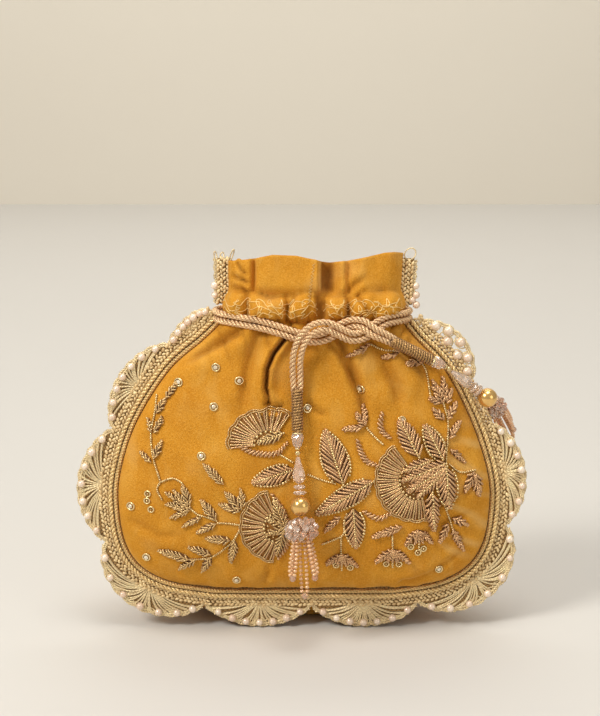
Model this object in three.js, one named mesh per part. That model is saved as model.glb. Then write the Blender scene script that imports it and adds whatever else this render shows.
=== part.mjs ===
// A drawstring potli bag: two velvet panels over a cotton lining, a scalloped lace trim and a
// double piping in the seam, a doubled drawcord tied round the neck, and two beaded tassels.
// Millimetres. +X is to the right of someone facing the bag, -Y is its front and +Z is up.
// The bag stands on z = 0, on the flat of its back panel and on the lowest scallops of its lace.

import * as THREE from 'three';

// Driving dimensions

const seamHalfFlat = 44;          // half the straight part of the bottom seam
const seamHeight = 20.8;          // height of the bottom seam over the table
const bellyHalf = 91;             // widest half-width of the panels
const neckHalf = 43.5;            // half-width of the neck under the drawcord
const ruffleHeight = 187;         // top of the ruffle at the front
const frontBulge = 24;            // how far the front panel stands before the seam's zero plane
const backBulge = 52;             // how far the back panel stands behind it
const sectionPower = 2.4;         // 2 is an ellipse; more is a squarer, fuller section
const velvetThickness = 1.8;
const liningThickness = 1.0;
const clearance = 0.3;            // gap between pieces that touch
const scallopDepth = 20.8;        // from the seam to the tip of a scallop
const laceThickness = 1.2;
const pipingRadius = 1.2;
const strandRadius = 1.6;         // each of the two strands of the drawcord
const strandOffset = 1.75;        // from the middle of the pair to the middle of a strand
const sleeveRadius = 2.9;

// The body's stations, from the bottom seam to the top hem. Each one gives the seam, the middle
// of the front panel and the middle of the back panel at one height.
const stations = [
  { half: seamHalfFlat, seamY: -5, seamZ: seamHeight, frontY: -5.4, frontZ: seamHeight, backY: -4.6, backZ: seamHeight, shift: 0 },
  { half: 66, seamY: -5, seamZ: 24.5, frontY: -12, frontZ: 24, backY: 6, backZ: 4, shift: 0 },
  { half: 80, seamY: -5, seamZ: 32, frontY: -18, frontZ: 32, backY: 18, backZ: -1.5, shift: 0 },
  { half: 88, seamY: -5, seamZ: 44, frontY: -22, frontZ: 45, backY: 38, backZ: -1.5, shift: 0 },
  { half: bellyHalf, seamY: -5, seamZ: 62, frontY: -frontBulge, frontZ: 62, backY: 50, backZ: 18, shift: 0 },
  { half: 90, seamY: -4.5, seamZ: 80, frontY: -frontBulge, frontZ: 80, backY: backBulge, backZ: 50, shift: 0 },
  { half: 82, seamY: -3, seamZ: 105, frontY: -21.5, frontZ: 104, backY: 45, backZ: 84, shift: 0 },
  { half: 67, seamY: -1.5, seamZ: 131, frontY: -18, frontZ: 131, backY: 30, backZ: 118, shift: 1.5 },
  { half: 51, seamY: 0, seamZ: 146.5, frontY: -15, frontZ: 147, backY: 18, backZ: 142, shift: 3 },
  { half: neckHalf, seamY: 0, seamZ: 155.5, frontY: -13.5, frontZ: 156, backY: 14, backZ: 155, shift: 4 },
  { half: 41.5, seamY: 0, seamZ: 165, frontY: -13, frontZ: 165, backY: 12, backZ: 165, shift: 5 },
  { half: 42, seamY: 0, seamZ: 186, frontY: -9, frontZ: ruffleHeight, backY: 9, backZ: 182, shift: 5.5 },
];

const velvetMaterial = () => new THREE.MeshStandardMaterial({ color: 0xd6982d, roughness: 0.85, metalness: 0 });
const liningMaterial = () => new THREE.MeshStandardMaterial({ color: 0xe6cf9a, roughness: 0.8, metalness: 0 });
const laceMaterial = () => new THREE.MeshStandardMaterial({ color: 0xc6a872, roughness: 0.6, metalness: 0.3 });
const pipingMaterial = () => new THREE.MeshStandardMaterial({ color: 0xb08a4a, roughness: 0.4, metalness: 0.6 });
const cordMaterial = () => new THREE.MeshStandardMaterial({ color: 0xbe9673, roughness: 0.55, metalness: 0.2 });
const wireMaterial = () => new THREE.MeshStandardMaterial({ color: 0x9c7c48, roughness: 0.4, metalness: 0.7 });
const goldMaterial = () => new THREE.MeshStandardMaterial({ color: 0xd2a75a, roughness: 0.3, metalness: 0.8 });
const crystalMaterial = () => new THREE.MeshStandardMaterial({ color: 0xeec0ac, roughness: 0.1, metalness: 0 });
const stoneMaterial = () => new THREE.MeshStandardMaterial({ color: 0xf3e6c4, roughness: 0.15, metalness: 0.1 });

// The stations are measured from the seam's plane. This moves the bag so that the origin is under
// the middle of its own box, which leaves out the drawcord and the tassels on it.
const placement = new THREE.Vector3(1.15, -13.95, 0);

const bag = new THREE.Group();
bag.position.copy(placement);

function addPiece(name, geometry, material, parent = bag) {
  const mesh = new THREE.Mesh(geometry, material);
  mesh.name = name;
  parent.add(mesh);
  return mesh;
}

// Curves through the stations

const stationCurve = (pick) => new THREE.CatmullRomCurve3(stations.map(pick), false, 'catmullrom', 0.5);
const seamCurve = stationCurve((s) => new THREE.Vector3(s.half, s.seamY, s.seamZ));
const frontCurve = stationCurve((s) => new THREE.Vector3(s.shift, s.frontY, s.frontZ));
const backCurve = stationCurve((s) => new THREE.Vector3(s.shift, s.backY, s.backZ));

// A point of a panel: turn runs from -90 degrees at the left seam to 90 degrees at the right
// seam, rise from 0 at the bottom seam to 1 at the top hem, and inset is the depth under the
// bag's outer surface. Both panels stop a little short of the seam's plane.
function panelPoint(middleCurve, turn, rise, inset = 0) {
  const outSign = middleCurve === frontCurve ? -1 : 1;
  const seam = seamCurve.getPoint(rise);
  const seamTangent = seamCurve.getTangent(rise).setY(0).normalize();
  seam.x -= inset * seamTangent.z;
  seam.z += inset * seamTangent.x;
  const middle = middleCurve.getPoint(rise);
  const middleTangent = middleCurve.getTangent(rise).setX(0).normalize();
  middle.y -= inset * outSign * middleTangent.z;
  middle.z += inset * outSign * middleTangent.y;
  const bulge = Math.max(outSign * (middle.y - seam.y), 0);
  const power = 2 / sectionPower;
  const across = Math.sign(turn) * Math.abs(Math.sin(turn)) ** power;
  const depth = Math.max(Math.cos(turn), 0) ** power;
  const x = middle.x + seam.x * across;
  const y = seam.y + outSign * (bulge * depth + clearance / 2);
  const z = seam.z + (middle.z - seam.z) * depth;
  return new THREE.Vector3(x, y, Math.max(z, inset));
}

// A closed body from its vertices and triangles, turned so that its faces point out.
function closedBody(vertices, triangles) {
  let volume = 0;
  for (const [a, b, c] of triangles) {
    const product = new THREE.Vector3().crossVectors(vertices[b], vertices[c]);
    volume += vertices[a].dot(product);
  }
  const index = triangles.flatMap(([a, b, c]) => (volume < 0 ? [a, c, b] : [a, b, c]));
  const geometry = new THREE.BufferGeometry();
  geometry.setAttribute('position', new THREE.Float32BufferAttribute(vertices.flatMap((v) => v.toArray()), 3));
  geometry.setIndex(index);
  geometry.computeVertexNormals();
  return geometry;
}

// A cloth panel between two insets from the bag's outer surface.
function clothPanel(middleCurve, outerInset, innerInset, columns, rows) {
  const vertices = [];
  const triangles = [];
  const stride = columns + 1;
  const layerSize = stride * (rows + 1);
  for (const inset of [outerInset, innerInset]) {
    for (let row = 0; row <= rows; row += 1) {
      for (let column = 0; column <= columns; column += 1) {
        const turn = (column / columns - 0.5) * Math.PI;
        vertices.push(panelPoint(middleCurve, turn, row / rows, inset));
      }
    }
  }
  const addQuad = (a, b, c, d) => triangles.push([a, b, c], [a, c, d]);
  for (let row = 0; row < rows; row += 1) {
    for (let column = 0; column < columns; column += 1) {
      const corner = row * stride + column;
      const inner = corner + layerSize;
      addQuad(corner, corner + 1, corner + stride + 1, corner + stride);
      addQuad(inner, inner + stride, inner + stride + 1, inner + 1);
    }
  }
  const rim = [];
  for (let column = 0; column < columns; column += 1) rim.push(column);
  for (let row = 0; row < rows; row += 1) rim.push(row * stride + columns);
  for (let column = columns; column > 0; column -= 1) rim.push(rows * stride + column);
  for (let row = rows; row > 0; row -= 1) rim.push(row * stride);
  rim.forEach((vertex, place) => {
    const next = rim[(place + 1) % rim.length];
    addQuad(next, vertex, vertex + layerSize, next + layerSize);
  });
  return closedBody(vertices, triangles);
}

// The panels and the lining

const panelColumns = 18;
const panelRows = 22;
const liningOuter = velvetThickness + clearance;
const liningInner = liningOuter + liningThickness;

addPiece('front_panel', clothPanel(frontCurve, 0, velvetThickness, panelColumns, panelRows), velvetMaterial());
addPiece('back_panel', clothPanel(backCurve, 0, velvetThickness, panelColumns, panelRows), velvetMaterial());
addPiece('lining_front', clothPanel(frontCurve, liningOuter, liningInner, panelColumns, panelRows), liningMaterial());
addPiece('lining_back', clothPanel(backCurve, liningOuter, liningInner, panelColumns, panelRows), liningMaterial());

// The whole seam as one curve, from the top left, down, along the bottom and up to the top right.
// A place on it is given as the distance from the middle of the bottom, positive to the right.

function seamPoint(side, rise) {
  const seam = seamCurve.getPoint(rise);
  const shift = frontCurve.getPoint(rise).x;
  return new THREE.Vector3(side * seam.x + shift, seam.y, seam.z);
}

const seamSamples = 120;
const seamPoints = [];
for (let sample = seamSamples; sample >= 0; sample -= 1) seamPoints.push(seamPoint(-1, sample / seamSamples));
for (let sample = 0; sample <= seamSamples; sample += 1) seamPoints.push(seamPoint(1, sample / seamSamples));
const seamPath = new THREE.CurvePath();
seamPoints.slice(1).forEach((point, place) => seamPath.add(new THREE.LineCurve3(seamPoints[place], point)));
const seamLength = seamPath.getLength();

// A point beside the seam: outward in the seam's plane and forward towards -Y.
function besideSeam(distance, outward, forward) {
  const step = 2;
  const at = (length) => seamPath.getPointAt(THREE.MathUtils.clamp(length / seamLength + 0.5, 0, 1));
  const direction = at(distance + step).sub(at(distance - step));
  const normal = new THREE.Vector3(direction.z, 0, -direction.x).normalize();
  const point = at(distance).addScaledVector(normal, outward);
  point.y -= forward;
  return point;
}

// The lace trim: a flat band with a scalloped edge, and a low stretch on the right shoulder
// where the tassel lies across it. A scallop runs from start to end along the seam.

const laceBand = 9;               // depth of the lace at a notch
const laceLow = 5.6;              // depth where the right tassel crosses it
const lowStretch = { start: 159, end: 181 };
const scallops = [
  { start: -217, end: -196, depth: 14 },
  { start: -196, end: -150, depth: 19 },
  { start: -150, end: -97.5, depth: scallopDepth },
  { start: -97.5, end: -45.5, depth: scallopDepth },
  { start: -45.5, end: 6.5, depth: scallopDepth },
  { start: 6.5, end: 58.5, depth: scallopDepth },
  { start: 58.5, end: 110.5, depth: scallopDepth },
  { start: 110.5, end: 159, depth: 19 },
  { start: 181, end: 217, depth: 17 },
];

function laceDepth(distance) {
  if (distance > lowStretch.start && distance < lowStretch.end) return laceLow;
  const scallop = scallops.find((s) => distance >= s.start && distance <= s.end);
  if (!scallop) return laceBand;
  const along = (distance - scallop.start) / (scallop.end - scallop.start);
  const arch = Math.sin(Math.PI * along) ** 0.6;
  return laceBand + (scallop.depth - laceBand) * arch;
}

function laceStrip(start, end, steps, depthAt) {
  const inner = 0.4;
  const vertices = [];
  const triangles = [];
  for (let step = 0; step <= steps; step += 1) {
    const distance = start + ((end - start) * step) / steps;
    for (const forward of [0, laceThickness]) {
      vertices.push(besideSeam(distance, inner, forward));
      vertices.push(besideSeam(distance, depthAt(distance), forward));
    }
  }
  const ring = [0, 1, 3, 2];
  for (let step = 0; step < steps; step += 1) {
    ring.forEach((corner, place) => {
      const nextCorner = ring[(place + 1) % 4];
      const a = step * 4 + corner;
      const b = step * 4 + nextCorner;
      triangles.push([a, b, b + 4], [a, b + 4, a + 4]);
    });
  }
  const last = steps * 4;
  triangles.push([0, 3, 1], [0, 2, 3], [last, last + 1, last + 3], [last, last + 3, last + 2]);
  return closedBody(vertices, triangles);
}

const laceEnd = 217;              // the body's lace stops just under the drawcord
const ruffleLaceStart = 232;      // and the ruffle's lace starts just over it
const ruffleLaceDepth = 6.5;
addPiece('lace_trim', laceStrip(-laceEnd, laceEnd, 124, laceDepth), laceMaterial());
const ruffleLaceEnd = seamLength / 2 - 0.5;
const ruffleLace = (start, end) => laceStrip(start, end, 8, () => ruffleLaceDepth);
addPiece('lace_ruffle_left', ruffleLace(-ruffleLaceEnd, -ruffleLaceStart), laceMaterial());
addPiece('lace_ruffle_right', ruffleLace(ruffleLaceStart, ruffleLaceEnd), laceMaterial());

// Round tubes along a curve

function tube(curve, radius, sides, steps) {
  const section = new THREE.Shape();
  for (let side = 0; side <= sides; side += 1) {
    const angle = (side / sides) * Math.PI * 2;
    const point = [radius * Math.cos(angle), radius * Math.sin(angle)];
    if (side === 0) section.moveTo(...point);
    else if (side < sides) section.lineTo(...point);
  }
  section.closePath();
  return new THREE.ExtrudeGeometry(section, { steps, extrudePath: curve, bevelEnabled: false });
}

const smoothCurve = (points) => new THREE.CatmullRomCurve3(points, false, 'centripetal');

// Two rows of piping lie side by side on the front of the lace, against the front panel's edge.

const pipingForward = laceThickness + clearance + pipingRadius;
const pipingRows = { piping_inner: 1.7, piping_outer: 4.4 };
const pipingEnd = 215;
for (const [name, outward] of Object.entries(pipingRows)) {
  const points = [];
  const pipingSpans = 50;
  for (let span = 0; span <= pipingSpans; span += 1) {
    const distance = pipingEnd * ((2 * span) / pipingSpans - 1);
    points.push(besideSeam(distance, outward, pipingForward));
  }
  addPiece(name, tube(smoothCurve(points), pipingRadius, 8, 70), pipingMaterial());
}

// The drawcord: a pair of strands from the front sleeve up over the half knot, round the neck,
// under the knot and out to the right sleeve. Each point is x, y, z and the tilt in degrees of
// the pair from upright, positive towards +X.
const drawcordRoute = [
  [-3.4, -21.9, 126.9, -90],
  [-3.6, -22.0, 133, -90],
  [-3.6, -23.0, 140, -86],
  [-2.4, -24.3, 146.5, -66],
  [0.6, -24.6, 151.8, -40],
  [6, -23.9, 155.4, -18],
  [12.5, -22.4, 156.8, -4],
  [21, -19.4, 157.2, 0],
  [31, -17, 157.6, 0],
  [40.5, -13, 157.9, 0],
  [47.8, -7.2, 158, 0],
  [51, 0, 158, 0],
  [47.8, 7.6, 158, 0],
  [38.5, 14, 157.6, 0],
  [22, 18, 157.2, 0],
  [4, 19, 157, 0],
  [-14, 18, 157.2, 0],
  [-30.5, 14, 157.6, 0],
  [-39.8, 7.6, 158, 0],
  [-43, 0, 158, 0],
  [-39.8, -7.2, 157.9, 0],
  [-30.5, -13.2, 157.2, 0],
  [-20, -16.5, 155.8, 0],
  [-10.5, -17.9, 153.2, 0],
  [-2, -18.6, 150.6, 0],
  [6, -18.9, 149.2, 0],
  [15, -19.6, 149.4, 0],
  [24.5, -20.2, 150, 4],
  [33, -19.9, 150.4, 14],
  [39, -19.4, 149.6, 26],
];

function strandRoute(side) {
  return drawcordRoute.map(([x, y, z, tilt]) => {
    const angle = THREE.MathUtils.degToRad(tilt);
    const offset = side * strandOffset;
    return new THREE.Vector3(x + offset * Math.sin(angle), y, z + offset * Math.cos(angle));
  });
}

addPiece('drawcord_upper', tube(smoothCurve(strandRoute(1)), strandRadius, 8, 40), cordMaterial());
addPiece('drawcord_lower', tube(smoothCurve(strandRoute(-1)), strandRadius, 8, 40), cordMaterial());

// Shapes turned about the axis that a tassel hangs by. Each one starts at the height top and
// goes down, and profile gives radius and depth pairs.

function turned(profile, top, sides) {
  const points = profile.map(([radius, depth]) => new THREE.Vector2(radius, top - depth));
  points.reverse();
  const geometry = new THREE.LatheGeometry(points, sides);
  geometry.rotateX(Math.PI / 2);
  return geometry;
}

// A sleeve of wire wound over the end of the drawcord, and the crystal cap under it.
function sleeveAndCap(name, start, end) {
  addPiece(`${name}_sleeve`, tube(new THREE.LineCurve3(start, end), sleeveRadius, 12, 2), wireMaterial());
  const capLength = 8.2;
  const profile = [[0, 0], [2.4, 0], [2.9, 2], [2.7, 5.5], [1.2, capLength], [0, capLength]];
  const cap = addPiece(`${name}_cap`, turned(profile, 0, 10), crystalMaterial());
  const direction = end.clone().sub(start).normalize();
  cap.quaternion.setFromUnitVectors(new THREE.Vector3(0, 0, -1), direction);
  cap.position.copy(end).addScaledVector(direction, clearance);
  return cap.position.clone().addScaledVector(direction, capLength);
}

// A tassel. Its upper part hangs from a thread knot, and its lower part from the upper one.
const knotRadius = 1.4;
const teardropLength = 12.9;
const rondelleLength = 5.2;
const beadRadius = 4.75;
const clusterLength = 11;
const knotToRondelle = knotRadius + clearance + teardropLength + clearance;
const knotToBead = knotToRondelle + rondelleLength + clearance + beadRadius;
const beadToStrands = beadRadius + clearance + clusterLength + 2 * clearance;

function hangingGroup(position, direction) {
  const group = new THREE.Group();
  group.position.copy(position);
  group.quaternion.setFromUnitVectors(new THREE.Vector3(0, 0, -1), direction);
  bag.add(group);
  return group;
}

function beadStrand(beads) {
  const beadPitch = 3.1;
  const profile = [[0, 0]];
  for (let bead = 0; bead < beads; bead += 1) {
    profile.push([1.5, (bead + 0.5) * beadPitch]);
    if (bead < beads - 1) profile.push([0.7, (bead + 1) * beadPitch]);
  }
  profile.push([0, beads * beadPitch]);
  return turned(profile, 0, 6);
}

function tassel(name, knot, upperDirection, lowerDirection, strandDirection, spread) {
  const upper = hangingGroup(knot, upperDirection);
  addPiece(`${name}_knot`, new THREE.SphereGeometry(knotRadius, 8, 6), goldMaterial(), upper);
  const teardropProfile = [[0, 0], [0.9, 0], [1.7, 3.5], [2.9, 8.6], [2.4, 11.2], [0.9, teardropLength], [0, teardropLength]];
  const teardropTop = -(knotRadius + clearance);
  addPiece(`${name}_teardrop`, turned(teardropProfile, teardropTop, 8), crystalMaterial(), upper);
  const rondelleProfile = [[0, 0], [1.6, 0], [3.2, 1.6], [3.2, 3.6], [1.6, rondelleLength], [0, rondelleLength]];
  addPiece(`${name}_rondelle`, turned(rondelleProfile, -knotToRondelle, 10), crystalMaterial(), upper);

  const bead = knot.clone().addScaledVector(upperDirection, knotToBead);
  const lower = hangingGroup(bead, lowerDirection);
  addPiece(`${name}_gold_bead`, new THREE.SphereGeometry(beadRadius, 16, 12), goldMaterial(), lower);
  const rim = 8.8 * spread;
  const clusterProfile = [[0, 0], [1.5, 0], [rim * 0.6, 2.6], [rim, 7], [rim, 9.2], [rim * 0.8, clusterLength], [0, clusterLength]];
  addPiece(`${name}_cluster`, turned(clusterProfile, -beadRadius - clearance, 14), crystalMaterial(), lower);

  const strandTop = bead.clone().addScaledVector(lowerDirection, beadToStrands);
  const strands = hangingGroup(strandTop, strandDirection);
  const ringRadius = 5.4 * spread;
  for (let strand = 1; strand <= 5; strand += 1) {
    const beads = strand === 5 ? 9 : 6;
    const piece = addPiece(`${name}_strand_${strand}`, beadStrand(beads), crystalMaterial(), strands);
    const angle = (strand / 4 + 1 / 8) * Math.PI * 2;
    const radius = strand === 5 ? 0 : ringRadius;
    piece.position.set(radius * Math.cos(angle), radius * Math.sin(angle), 0);
  }
}

const vector = (x, y, z) => new THREE.Vector3(x, y, z);
const knotDrop = clearance + knotRadius;

// The front tassel hangs down the middle of the front panel and leans on its bulge.
const frontSleeveStart = vector(-3.4, -22.4, 126.4);
const frontSleeveEnd = vector(-3.2, -25, 106);
const frontCapEnd = sleeveAndCap('front', frontSleeveStart, frontSleeveEnd);
const frontDirection = vector(0.05, -0.215, -0.975).normalize();
const frontKnot = frontCapEnd.clone().addScaledVector(frontDirection, knotDrop);
tassel('front', frontKnot, frontDirection, frontDirection, frontDirection, 1);

// The right tassel lies over the right shoulder, and its strands hang down behind the lace.
const rightSleeveStart = vector(40.8, -18.9, 148.9);
const rightSleeveEnd = vector(60.6, -13.4, 138.2);
const rightCapEnd = sleeveAndCap('right', rightSleeveStart, rightSleeveEnd);
const rightUpperDirection = vector(0.775, 0.175, -0.6).normalize();
const rightLowerDirection = vector(0.42, 0.72, -0.55).normalize();
const rightStrandDirection = vector(0.36, 0.62, -0.7).normalize();
const rightKnot = rightCapEnd.clone().addScaledVector(rightUpperDirection, knotDrop);
tassel('right', rightKnot, rightUpperDirection, rightLowerDirection, rightStrandDirection, 0.66);

// Crystal stones sewn over the front panel, each given by its x and z.

const stonePlaces = [
  [-42, 135], [-31, 129], [-60, 127], [-43, 116.5], [-49, 93], [1.5, 116], [27, 125], [46.5, 110],
  [-84, 66], [-77, 40], [-33, 29], [66, 34],
];

function riseAtHeight(height) {
  let low = 0;
  let high = 1;
  for (let round = 0; round < 30; round += 1) {
    const middle = (low + high) / 2;
    if (frontCurve.getPoint(middle).z < height) low = middle;
    else high = middle;
  }
  return low;
}

function frontPanelSpot(x, z) {
  const rise = riseAtHeight(z);
  const across = (x - frontCurve.getPoint(rise).x) / seamCurve.getPoint(rise).x;
  const turn = Math.asin(Math.sign(across) * Math.abs(across) ** (sectionPower / 2));
  const spot = panelPoint(frontCurve, turn, rise);
  const inside = panelPoint(frontCurve, turn, rise, 1);
  return { spot, normal: spot.clone().sub(inside).normalize() };
}

stonePlaces.forEach(([x, z], place) => {
  const profile = [[0, 0], [1, 0], [1.7, 0.9], [1.7, 1.4], [0, 1.6]];
  const stone = addPiece(`stone_${String(place + 1).padStart(2, '0')}`, turned(profile, 1.6, 10), stoneMaterial());
  const { spot, normal } = frontPanelSpot(x, z);
  stone.quaternion.setFromUnitVectors(new THREE.Vector3(0, 0, 1), normal);
  stone.position.copy(spot).addScaledVector(normal, 2.5 * clearance);
});

export default bag;
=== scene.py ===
"""A drawstring potli bag in gold velvet, with crochet lace, bullion embroidery and bead tassels."""
import math

import bpy
import numpy as np
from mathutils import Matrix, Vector
from mathutils.bvhtree import BVHTree


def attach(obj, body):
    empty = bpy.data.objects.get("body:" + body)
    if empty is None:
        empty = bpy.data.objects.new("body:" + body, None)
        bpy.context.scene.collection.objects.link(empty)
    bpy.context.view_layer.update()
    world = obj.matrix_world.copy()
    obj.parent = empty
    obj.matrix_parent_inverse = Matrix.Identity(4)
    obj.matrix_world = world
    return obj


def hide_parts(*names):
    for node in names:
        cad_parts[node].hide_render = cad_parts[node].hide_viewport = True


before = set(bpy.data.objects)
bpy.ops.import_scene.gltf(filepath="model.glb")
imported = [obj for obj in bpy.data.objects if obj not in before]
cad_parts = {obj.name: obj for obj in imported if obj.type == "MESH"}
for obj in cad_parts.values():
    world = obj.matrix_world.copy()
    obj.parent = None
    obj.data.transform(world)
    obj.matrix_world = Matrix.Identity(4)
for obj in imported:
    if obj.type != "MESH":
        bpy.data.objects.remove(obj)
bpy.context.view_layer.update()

# ---------------------------------------------------------------- the bag's own measures
# Lengths here are in millimetres from the plane of the side seam, as in the part's source.
# put() turns them into the frame's metres.

SEAM_TO_FRAME = np.array([1.15, -13.95, 0.0])
SECTION = 2.4                      # roundness of the body's cross-section
VELVET_THICKNESS = 1.4
LINING_THICKNESS = 0.6
LINING_INSET = 2.1                 # how far the lining lies inside the velvet's face

# seam half width, seam y, z, front y, z, back y, z, sideways shift
STATIONS = np.array([
    [44, -5, 20.8, -5.4, 20.8, -4.6, 20.8, 0],
    [66, -5, 24.5, -12, 24, 6, 4, 0],
    [80, -5, 32, -18, 32, 18, -1.5, 0],
    [88, -5, 44, -22, 45, 38, -1.5, 0],
    [91, -5, 62, -24, 62, 50, 18, 0],
    [90, -4.5, 80, -24, 80, 52, 50, 0],
    [82, -3, 105, -21.5, 104, 45, 84, 0],
    [67, -1.5, 131, -18, 131, 30, 118, 1.5],
    [51, 0, 146.5, -15, 147, 18, 142, 3],
    [43.5, 0, 155.5, -13.5, 156, 14, 155, 4],
    [41.5, 0, 165, -13, 165, 12, 165, 5],
    [42, 0, 186, -9, 187, 9, 182, 5.5],
])
SEAM_LINE = STATIONS[:, [0, 1, 2]]
FRONT_LINE = STATIONS[:, [7, 3, 4]]
BACK_LINE = STATIONS[:, [7, 5, 6]]

# x, y, z and the tilt of the pair of strands from upright. The route goes up from the front sleeve and round
# the neck to the right sleeve. Its two runs cross twice to the right of the knot.
DRAWCORD_ROUTE = [
    (-3.4, -21.9, 126.9, -90), (-3.6, -22.0, 133, -90), (-3.6, -23.0, 140, -86),
    (-2.4, -24.3, 146.5, -66), (0.4, -24.6, 152.2, -42), (5.2, -24.4, 156.0, -14),
    (10.8, -24.2, 156.6, 16), (16.6, -23.4, 153.8, 34), (22.4, -22.0, 151.0, 14), (28, -20, 151.6, -20),
    (33.4, -17.6, 154.8, -32), (38.4, -15, 157.4, -12), (43.4, -11.6, 158, 0),
    (47.8, -7.2, 158, 0), (51, 0, 158, 0), (47.8, 7.6, 158, 0),
    (38.5, 14, 157.6, 0), (22, 18, 157.2, 0), (4, 19, 157, 0), (-14, 18, 157.2, 0),
    (-30.5, 14, 157.6, 0), (-39.8, 7.6, 158, 0), (-43, 0, 158, 0), (-39.8, -7.2, 157.9, 0),
    (-30.5, -13.2, 157.2, 0), (-20, -16.5, 155.8, 0), (-10.5, -17.9, 153.2, 0),
    (-2, -18.6, 150.6, 0), (4.8, -18.8, 149.6, -6), (11, -18.6, 151, -26), (16.8, -18.4, 154.6, -34),
    (22.6, -18.8, 157, -8), (28, -20.6, 156.6, 22), (33, -21.9, 153.2, 36), (38.2, -20.6, 150.6, 30),
]
STRAND_OFFSET = 1.75               # from the pair's middle to the middle of each strand
CORD_HEIGHT = 157.0                # where the cord gathers the velvet
MILLIMETRE = 0.001


def put(points):
    """The bag's own millimetres as the frame's metres."""
    return (np.asarray(points, float) + SEAM_TO_FRAME) * MILLIMETRE


def ease(value, low, high):
    """0 below low, 1 above high, and a smooth rise between."""
    share = np.clip((np.asarray(value, float) - low) / (high - low), 0, 1)
    return share * share * (3 - 2 * share)


def unit(vectors):
    """The vectors at a length of one."""
    vectors = np.asarray(vectors, float)
    return vectors / np.maximum(np.linalg.norm(vectors, axis=-1, keepdims=True), 1e-9)


def through(points, places):
    """The smooth curve through the points, at places from 0 to 1 that count the points evenly."""
    p = np.asarray(points, float)
    p = np.vstack([2 * p[0] - p[1], p, 2 * p[-1] - p[-2]])
    spans = len(p) - 3
    u = np.clip(np.asarray(places, float), 0, 1) * spans
    i = np.minimum(u.astype(int), spans - 1)
    w = (u - i)[..., None]
    a, b, c, d = p[i], p[i + 1], p[i + 2], p[i + 3]
    return 0.5 * (2 * b + (c - a) * w + (2 * a - 5 * b + 4 * c - d) * w**2 + (3 * b - a - 3 * c + d) * w**3)


def even_steps(points, step):
    """Points at even steps of length along a line of points."""
    p = np.asarray(points, float)
    reach = np.concatenate([[0], np.cumsum(np.linalg.norm(np.diff(p, axis=0), axis=1))])
    count = max(int(round(reach[-1] / step)), 1) + 1
    places = np.linspace(0, reach[-1], count)
    return np.stack([np.interp(places, reach, p[:, k]) for k in range(p.shape[1])], axis=1)


def smooth_line(points, step):
    """A smooth line through a few points, at even steps of length."""
    return even_steps(through(points, np.linspace(0, 1, 24 * len(points))), step)


def ripple(u, v, size, seed):
    """Soft irregular waves from about -1 to 1, with waves about size apart."""
    chance = np.random.default_rng(seed)
    waves, total = 7, 0.0
    for _ in range(waves):
        turn, phase = chance.uniform(0, math.tau, 2)
        pitch = math.tau / size * chance.uniform(0.6, 1.6)
        total = total + np.sin(pitch * (u * math.cos(turn) + v * math.sin(turn)) + phase)
    return total / 3.2


def pleats(x, width, seed):
    """Uneven gathers side by side: 1 on a rounded top and 0 in the crease between two."""
    chance = np.random.default_rng(seed)
    count = 80
    edges = np.cumsum(chance.uniform(0.6, 1.5, count)) * width - count // 2 * width
    place = np.interp(x, edges, np.arange(count))
    return np.abs(np.sin(math.pi * place)) ** 0.7


# ---------------------------------------------------------------- camera, floor and light

def set_camera():
    """A long lens, a little above the bag and in front of it."""
    down = 11.87                   # degrees that the camera looks down
    data = bpy.data.cameras.new("camera")
    data.lens = 90
    data.sensor_width = 36
    data.sensor_fit = "HORIZONTAL"
    camera = bpy.data.objects.new("camera", data)
    camera.location = (-0.0008, -0.7268, 0.2862)
    camera.rotation_euler = (math.radians(90 - down), 0, 0)
    bpy.context.collection.objects.link(camera)
    bpy.context.scene.camera = camera


def area_light(name, place, aim, size, power, colour):
    """A soft light at a place, turned to its aim."""
    data = bpy.data.lights.new(name, "AREA")
    data.shape = "RECTANGLE"
    data.size, data.size_y = size
    data.energy = power
    data.color = colour
    light = bpy.data.objects.new(name, data)
    light.location = place
    light.rotation_euler = (Vector(aim) - Vector(place)).to_track_quat("-Z", "Y").to_euler()
    bpy.context.collection.objects.link(light)


def set_light():
    """A window up on the left, a weak fill on the right, a top light, a wash on the wall and a dim room."""
    area_light("window", (-1.3, -1.1, 1.5), (0, 0, 0.08), (0.6, 0.6), 31, (1.0, 0.975, 0.93))
    area_light("fill", (0.9, -0.9, 0.5), (0, 0, 0.08), (0.6, 0.6), 2.2, (1.0, 0.96, 0.91))
    area_light("top", (0.1, -0.25, 1.3), (0, 0, 0.05), (0.6, 0.5), 7, (1.0, 0.98, 0.95))
    area_light("wall wash", (0, 0.9, 1.9), (0, 2.0, 0.7), (2.0, 0.6), 22, (1.0, 0.97, 0.93))
    world = bpy.data.worlds.new("studio")
    world.use_nodes = True
    room = world.node_tree.nodes["Background"].inputs
    room["Color"].default_value = (1.0, 0.965, 0.91, 1)
    room["Strength"].default_value = 0.34
    scene = bpy.context.scene
    scene.world = world
    scene.view_settings.view_transform = "Standard"


# ---------------------------------------------------------------- node building

def node(tree, kind, values=None, **settings):
    """One node: settings are its own, and values are constants or links for its inputs."""
    made = tree.nodes.new(kind)
    for name, value in settings.items():
        setattr(made, name, value)
    for name, value in (values or {}).items():
        if isinstance(value, bpy.types.NodeSocket):
            tree.links.new(value, made.inputs[name])
        else:
            made.inputs[name].default_value = value
    return made


def sums(tree, operation, *values):
    """The output of one Math node."""
    return node(tree, "ShaderNodeMath", dict(enumerate(values)), operation=operation).outputs[0]


def object_place(tree):
    return node(tree, "ShaderNodeTexCoord").outputs["Object"]


def attribute(tree, name, output="Fac"):
    return node(tree, "ShaderNodeAttribute", attribute_name=name).outputs[output]


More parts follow.
